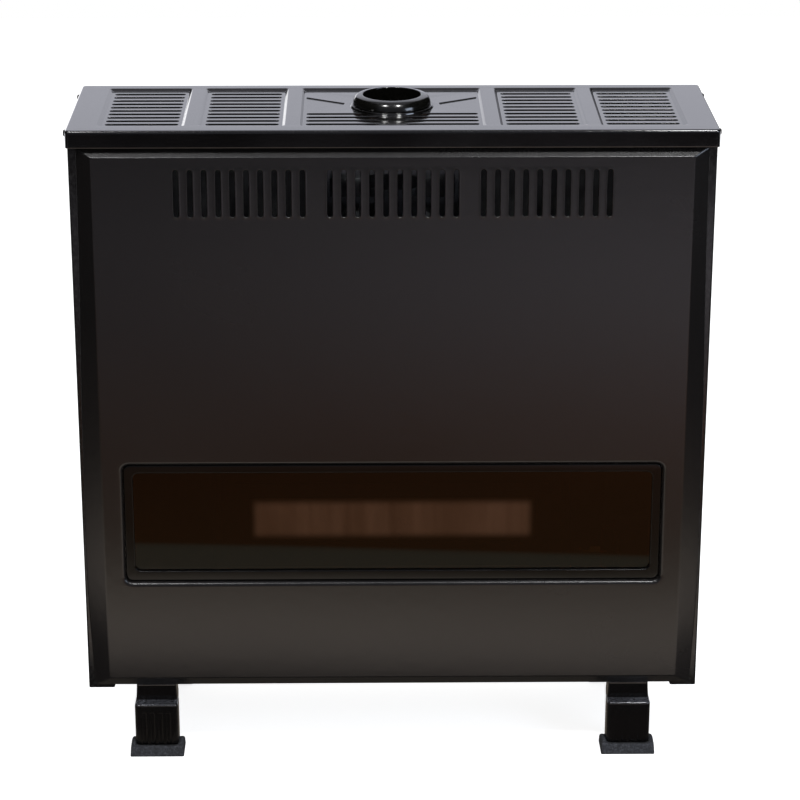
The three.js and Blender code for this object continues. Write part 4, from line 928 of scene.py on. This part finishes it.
sideShape = {
    "outline": ((366, 9), (366, 0), (400, 0), (400, 225.5), (382, 225.5)),
    "wallAt": 400, "bottom": 94, "top": 845.5, "bend": 3, "hole": (75, 190, 210, 300),
    "holeCorner": 3, "holeRing": 1.6,
    "enamel": {
        "colour": (0.0022, 0.0019, 0.0019), "shade": (0.0032, 0.0028, 0.0027), "rough": (0.13, 0.19),
        "grain": 0.05, "grainScale": 420.0, "deep": 0.0005, "dust": 0.2, "dustEven": 0.05, "wear": 0.05,
    },
}


def buildSide(s, side, sign, material):
    bm = bmesh.new()
    verts = [bm.verts.new((x, y, s["bottom"])) for x, y in s["outline"]]
    edges = [bm.edges.new(pair) for pair in zip(verts, verts[1:])]
    grown = bmesh.ops.extrude_edge_only(bm, edges=edges)["geom"]
    raised = [g for g in grown if isinstance(g, bmesh.types.BMVert)]
    bmesh.ops.translate(bm, vec=(0, 0, s["top"] - s["bottom"]), verts=raised)
    folds = [e for e in bm.edges if len(e.link_faces) == 2]
    bmesh.ops.bevel(
        bm, geom=folds, offset=s["bend"], offset_type="OFFSET", segments=4, profile=0.5, material=-1, affect="EDGES"
    )
    if sign > 0:
        bm.normal_update()
        wall = max(bm.faces, key=lambda f: f.calc_area())
        around = list(wall.edges)
        bmesh.ops.delete(bm, geom=[wall], context="FACES_ONLY")
        y0, z0, y1, z1 = s["hole"]
        # a narrow ring keeps the wall around the hole flat
        hole = [
            roundedLoop(bm, y0 - out, z0 - out, y1 + out, z1 + out, s["holeCorner"] + out, s["wallAt"])
            for out in (s["holeRing"], 0)
        ]
        stackLoops(bm, hole)
        bmesh.ops.transform(bm, matrix=faceRight, verts=partsOf(hole)[0])
        fillFlat(bm, [around, hole[0]], normal=(1, 0, 0))
    flip = Matrix.Scale(sign, 4, (1, 0, 0))
    finishPiece(bm, f"sidePanel.{side}", material, [f"side_panel_{side}"], wall=sheetWall, turn=flip)


sideEnamel = makeFinish("sideEnamel", sideShape["enamel"])
for side, sign in (("left", -1), ("right", 1)):
    buildSide(sideShape, side, sign, sideEnamel)
print("side panels folded")

screwShape = {
    "places": ((22, 839), (204, 839)),
    "seat": 401.8,
    "head": ((4.5, 0.0), (4.5, 1.6), (4.3, 2.8), (3.8, 3.7), (3.1, 4.3), (2.9, 4.4)),
    "shank": 1.9, "length": 10, "arm": 4.4, "slit": 1.1, "deep": 2.2,
    "steel": {
        "colour": (0.02, 0.02, 0.022), "shade": (0.03, 0.03, 0.032), "rough": (0.25, 0.4), "metal": 0.6,
        "grain": 0.25, "grainScale": 2200.0, "deep": 0.0002, "dust": 0.3, "wear": 0.2,
    },
}


def crossRecess(bm, s, level):
    grid = bmesh.ops.create_grid(bm, x_segments=3, y_segments=3, size=s["arm"] / 2)["verts"]
    third = s["arm"] / 6
    for vert in grid:
        vert.co.x *= s["slit"] / 2 / third if abs(vert.co.x) < third * 1.1 else 1
        vert.co.y *= s["slit"] / 2 / third if abs(vert.co.y) < third * 1.1 else 1
        vert.co.z = level
    faces = {f for v in grid for f in v.link_faces}
    corners = [f for f in faces if min(abs(c) for c in f.calc_center_median().xy) > s["slit"] / 2]
    cross = [f for f in faces if f not in corners]
    bmesh.ops.delete(bm, geom=corners, context="FACES")
    rim = [e for f in cross for e in f.edges if e.is_boundary]
    sunk = bmesh.ops.extrude_face_region(bm, geom=cross)["geom"]
    bmesh.ops.delete(bm, geom=cross, context="FACES")
    low = [g for g in sunk if isinstance(g, bmesh.types.BMVert)]
    bmesh.ops.translate(bm, vec=(0, 0, -s["deep"]), verts=low)
    return [e for e in rim if e.is_valid]


def buildScrew(s, name, place, turn, material):
    bm = bmesh.new()
    rows = ((s["shank"], -s["length"]), (s["shank"], 0), *s["head"])
    loops = [roundLoop(bm, 0, 0, radius, level, 4) for radius, level in rows]
    stackLoops(bm, loops)
    cap(bm, loops[0])
    fillFlat(bm, [loops[-1], crossRecess(bm, s, s["head"][-1][1])])
    there = turn @ Matrix.Translation((*place, s["seat"]))
    finishPiece(bm, name.replace("cover_screw_", "coverScrew."), material, [name], turn=there)


blackenedSteel = makeFinish("blackenedSteel", screwShape["steel"])
for side, turn in (("left", faceLeft), ("right", faceRight)):
    for row, place in enumerate(screwShape["places"], 1):
        buildScrew(screwShape, f"cover_screw_{side}_{row}", place, turn, blackenedSteel)
print("screws driven")

controlShape = {
    "recess": (75, 190, 210, 300),
    # rim to floor: growth, level, corner
    "recessLoops": (
        (12, 398.5, 4), (0.6, 398.5, 3), (-0.2, 398.2, 3), (-0.9, 397.1, 3), (-1.3, 366.2, 3), (-1.8, 364.1, 3),
        (-3.2, 363.2, 3),
    ),
    "floor": 363.2, "spindleHole": (115, 245, 5), "buttonHole": (187, 245, 7.8),
    "knobAt": (115, 245), "ribs": 40,
    "knobLoops": (
        (21.4, 367.5, 0), (22, 368.2, 0), (22, 374.0, 0), (21.7, 374.9, 0), (20.8, 375.5, 0), (18.6, 375.7, 0),
        (18.0, 376.2, 1.0), (17.7, 388.6, 1.0), (17.3, 390.2, 0.8), (16.4, 391.2, 0.4), (15.0, 391.5, 0.0),
    ),
    "pointer": (2.4, 4.0, 16.0),  # width, lowest and highest above the knob's middle
    "pointerRings": ((0, 391.45), (0, 391.9), (0.12, 392.12), (0.4, 392.2)),  # inset, level
    "pointerCorner": 0.7, "buttonAt": (187, 245),
    "buttonLoops": ((6.7, 348.8), (6.7, 374.6), (6.4, 375.5), (5.7, 376.0), (4.6, 375.8), (2.4, 375.4)),
    "plastic": {
        "colour": (0.012, 0.012, 0.013), "shade": (0.018, 0.018, 0.019), "rough": (0.38, 0.52), "grain": 0.35,
        "grainScale": 1800.0, "deep": 0.0003, "dust": 0.3,
    },
    "mark": {
        "colour": (0.75, 0.75, 0.73), "shade": (0.62, 0.62, 0.6), "rough": (0.4, 0.5), "grainScale": 1800.0,
        "dust": 0.2,
    },
    "red": {
        "colour": (0.42, 0.02, 0.015), "shade": (0.34, 0.015, 0.012), "rough": (0.28, 0.4), "grain": 0.2,
        "grainScale": 1500.0, "dust": 0.25,
    },
}


def buildRecess(s, material):
    bm = bmesh.new()
    y0, z0, y1, z1 = s["recess"]
    floor = s["floor"]
    loops = [
        roundedLoop(bm, y0 - grow, z0 - grow, y1 + grow, z1 + grow, corner, level)
        for grow, level, corner in s["recessLoops"]
    ]
    stackLoops(bm, loops)
    holes = []
    for y, z, radius in (s["spindleHole"], s["buttonHole"]):
        hole = stackLoops(bm, [roundLoop(bm, y, z, radius, level, 6) for level in (floor, floor - 1)])
        holes.append(hole[0])
    fillFlat(bm, [loops[-1]] + holes)
    finishPiece(bm, "controlRecess", material, ["control_well"], wall=1.0, turn=faceRight)


def knobLoop(bm, s, radius, level, rib):
    verts = bmesh.ops.create_circle(bm, cap_ends=False, radius=radius, segments=s["ribs"] * 2)["verts"]
    bmesh.ops.translate(bm, vec=(*s["knobAt"], level), verts=verts)
    if rib:
        centre = Matrix.Translation((-s["knobAt"][0], -s["knobAt"][1], 0))
        shrink = (radius - rib) / radius
        bmesh.ops.scale(bm, vec=(shrink, shrink, 1), space=centre, verts=verts[::2])
    return list({e for v in verts for e in v.link_edges})


def buildKnob(s, material, markMaterial):
    bm = bmesh.new()
    stackSolid(bm, [knobLoop(bm, s, *row) for row in s["knobLoops"]])
    finishPiece(bm, "controlKnob", material, ["control_knob"], body="knob", turn=faceRight)
    bm = bmesh.new()
    width, low, high = s["pointer"]
    y, z = s["knobAt"]
    loops = []
    for inset, level in s["pointerRings"]:
        half, corner = width / 2 - inset, s["pointerCorner"] - inset
        loops.append(roundedLoop(bm, y - half, z + low + inset, y + half, z + high - inset, corner, level))
    stackSolid(bm, loops)
    finishPiece(bm, "knobPointer", markMaterial, [], body="knob", turn=faceRight)


def buildButton(s, material):
    bm = bmesh.new()
    stackSolid(bm, [roundLoop(bm, *s["buttonAt"], radius, level, 6) for radius, level in s["buttonLoops"]])
    finishPiece(bm, "igniterButton", material, ["igniter_button"], body="igniter", turn=faceRight)


blackPlastic = makeFinish("blackPlastic", controlShape["plastic"])
redPlastic = makeFinish("redPlastic", controlShape["red"])
buildRecess(controlShape, blackPlastic)
buildKnob(controlShape, blackPlastic, makeFinish("knobMark", controlShape["mark"]))
buildButton(controlShape, redPlastic)
print("controls fitted")

# finishes of the inner pieces and the back
innerLooks = {
    "darkSteel": {
        "colour": (0.05, 0.05, 0.052), "shade": (0.075, 0.073, 0.07), "rough": (0.45, 0.65), "metal": 0.7,
        "grain": 0.2, "grainScale": 900.0, "dust": 0.5, "patchScale": 12.0,
    },
    "plainSteel": {
        "colour": (0.46, 0.47, 0.48), "shade": (0.36, 0.37, 0.38), "rough": (0.32, 0.5), "metal": 1.0,
        "grain": 0.15, "grainScale": 500.0, "dust": 0.35, "patchScale": 40.0, "wear": 0.15,
    },
    "castAluminium": {
        "colour": (0.5, 0.5, 0.5), "shade": (0.4, 0.4, 0.41), "rough": (0.45, 0.6), "metal": 1.0,
        "grain": 0.5, "grainScale": 1400.0, "deep": 0.0005, "dust": 0.3,
    },
    "brass": {
        "colour": (0.62, 0.44, 0.17), "shade": (0.5, 0.34, 0.13), "rough": (0.25, 0.42), "metal": 1.0,
        "grain": 0.2, "stretch": (1, 1, 0.1), "grainScale": 1600.0, "dust": 0.25,
    },
    "copper": {
        "colour": (0.6, 0.28, 0.15), "shade": (0.42, 0.19, 0.11), "rough": (0.28, 0.45), "metal": 1.0,
        "grain": 0.15, "grainScale": 1200.0, "dust": 0.25, "patchScale": 30.0,
    },
    "ceramic": {
        "colour": (0.75, 0.73, 0.68), "shade": (0.66, 0.63, 0.57), "rough": (0.3, 0.45),
        "grain": 0.1, "grainScale": 1500.0, "dust": 0.3,
    },
    "fibre": {
        "colour": (0.55, 0.52, 0.46), "shade": (0.44, 0.42, 0.37), "rough": (0.85, 0.95),
        "grain": 0.8, "grainScale": 1600.0, "deep": 0.001, "dust": 0.4,
    },
}
slotFinish = {
    "enamel": None,  # the cover alone, which is replaced
    "satin_enamel": satinEnamel, "gloss_enamel": glossBlack, "rubber": dustyRubber,
    "tinted_glass": tintedGlass, "clear_glass": chamberPane,
    "dark_steel": makeFinish("darkSteel", innerLooks["darkSteel"]),
    "plain_steel": makeFinish("plainSteel", innerLooks["plainSteel"]),
    "cast_aluminium": makeFinish("castAluminium", innerLooks["castAluminium"]),
    "brass": makeFinish("agedBrass", innerLooks["brass"]),
    "copper": makeFinish("agedCopper", innerLooks["copper"]),
    "black_plastic": blackPlastic, "red_plastic": redPlastic,
    "ceramic": makeFinish("glazedCeramic", innerLooks["ceramic"]),
    "fibre": makeFinish("fibreSeal", innerLooks["fibre"]),
}


def dressSolids():
    for part in frame["record"]["subparts"]:
        material = slotFinish[part["material_slot"]]
        node = frame["nodes"][part["node"]]
        if material and not node.hide_render:
            node.data.materials.clear()
            node.data.materials.append(material)


dressSolids()
print("inner pieces dressed")
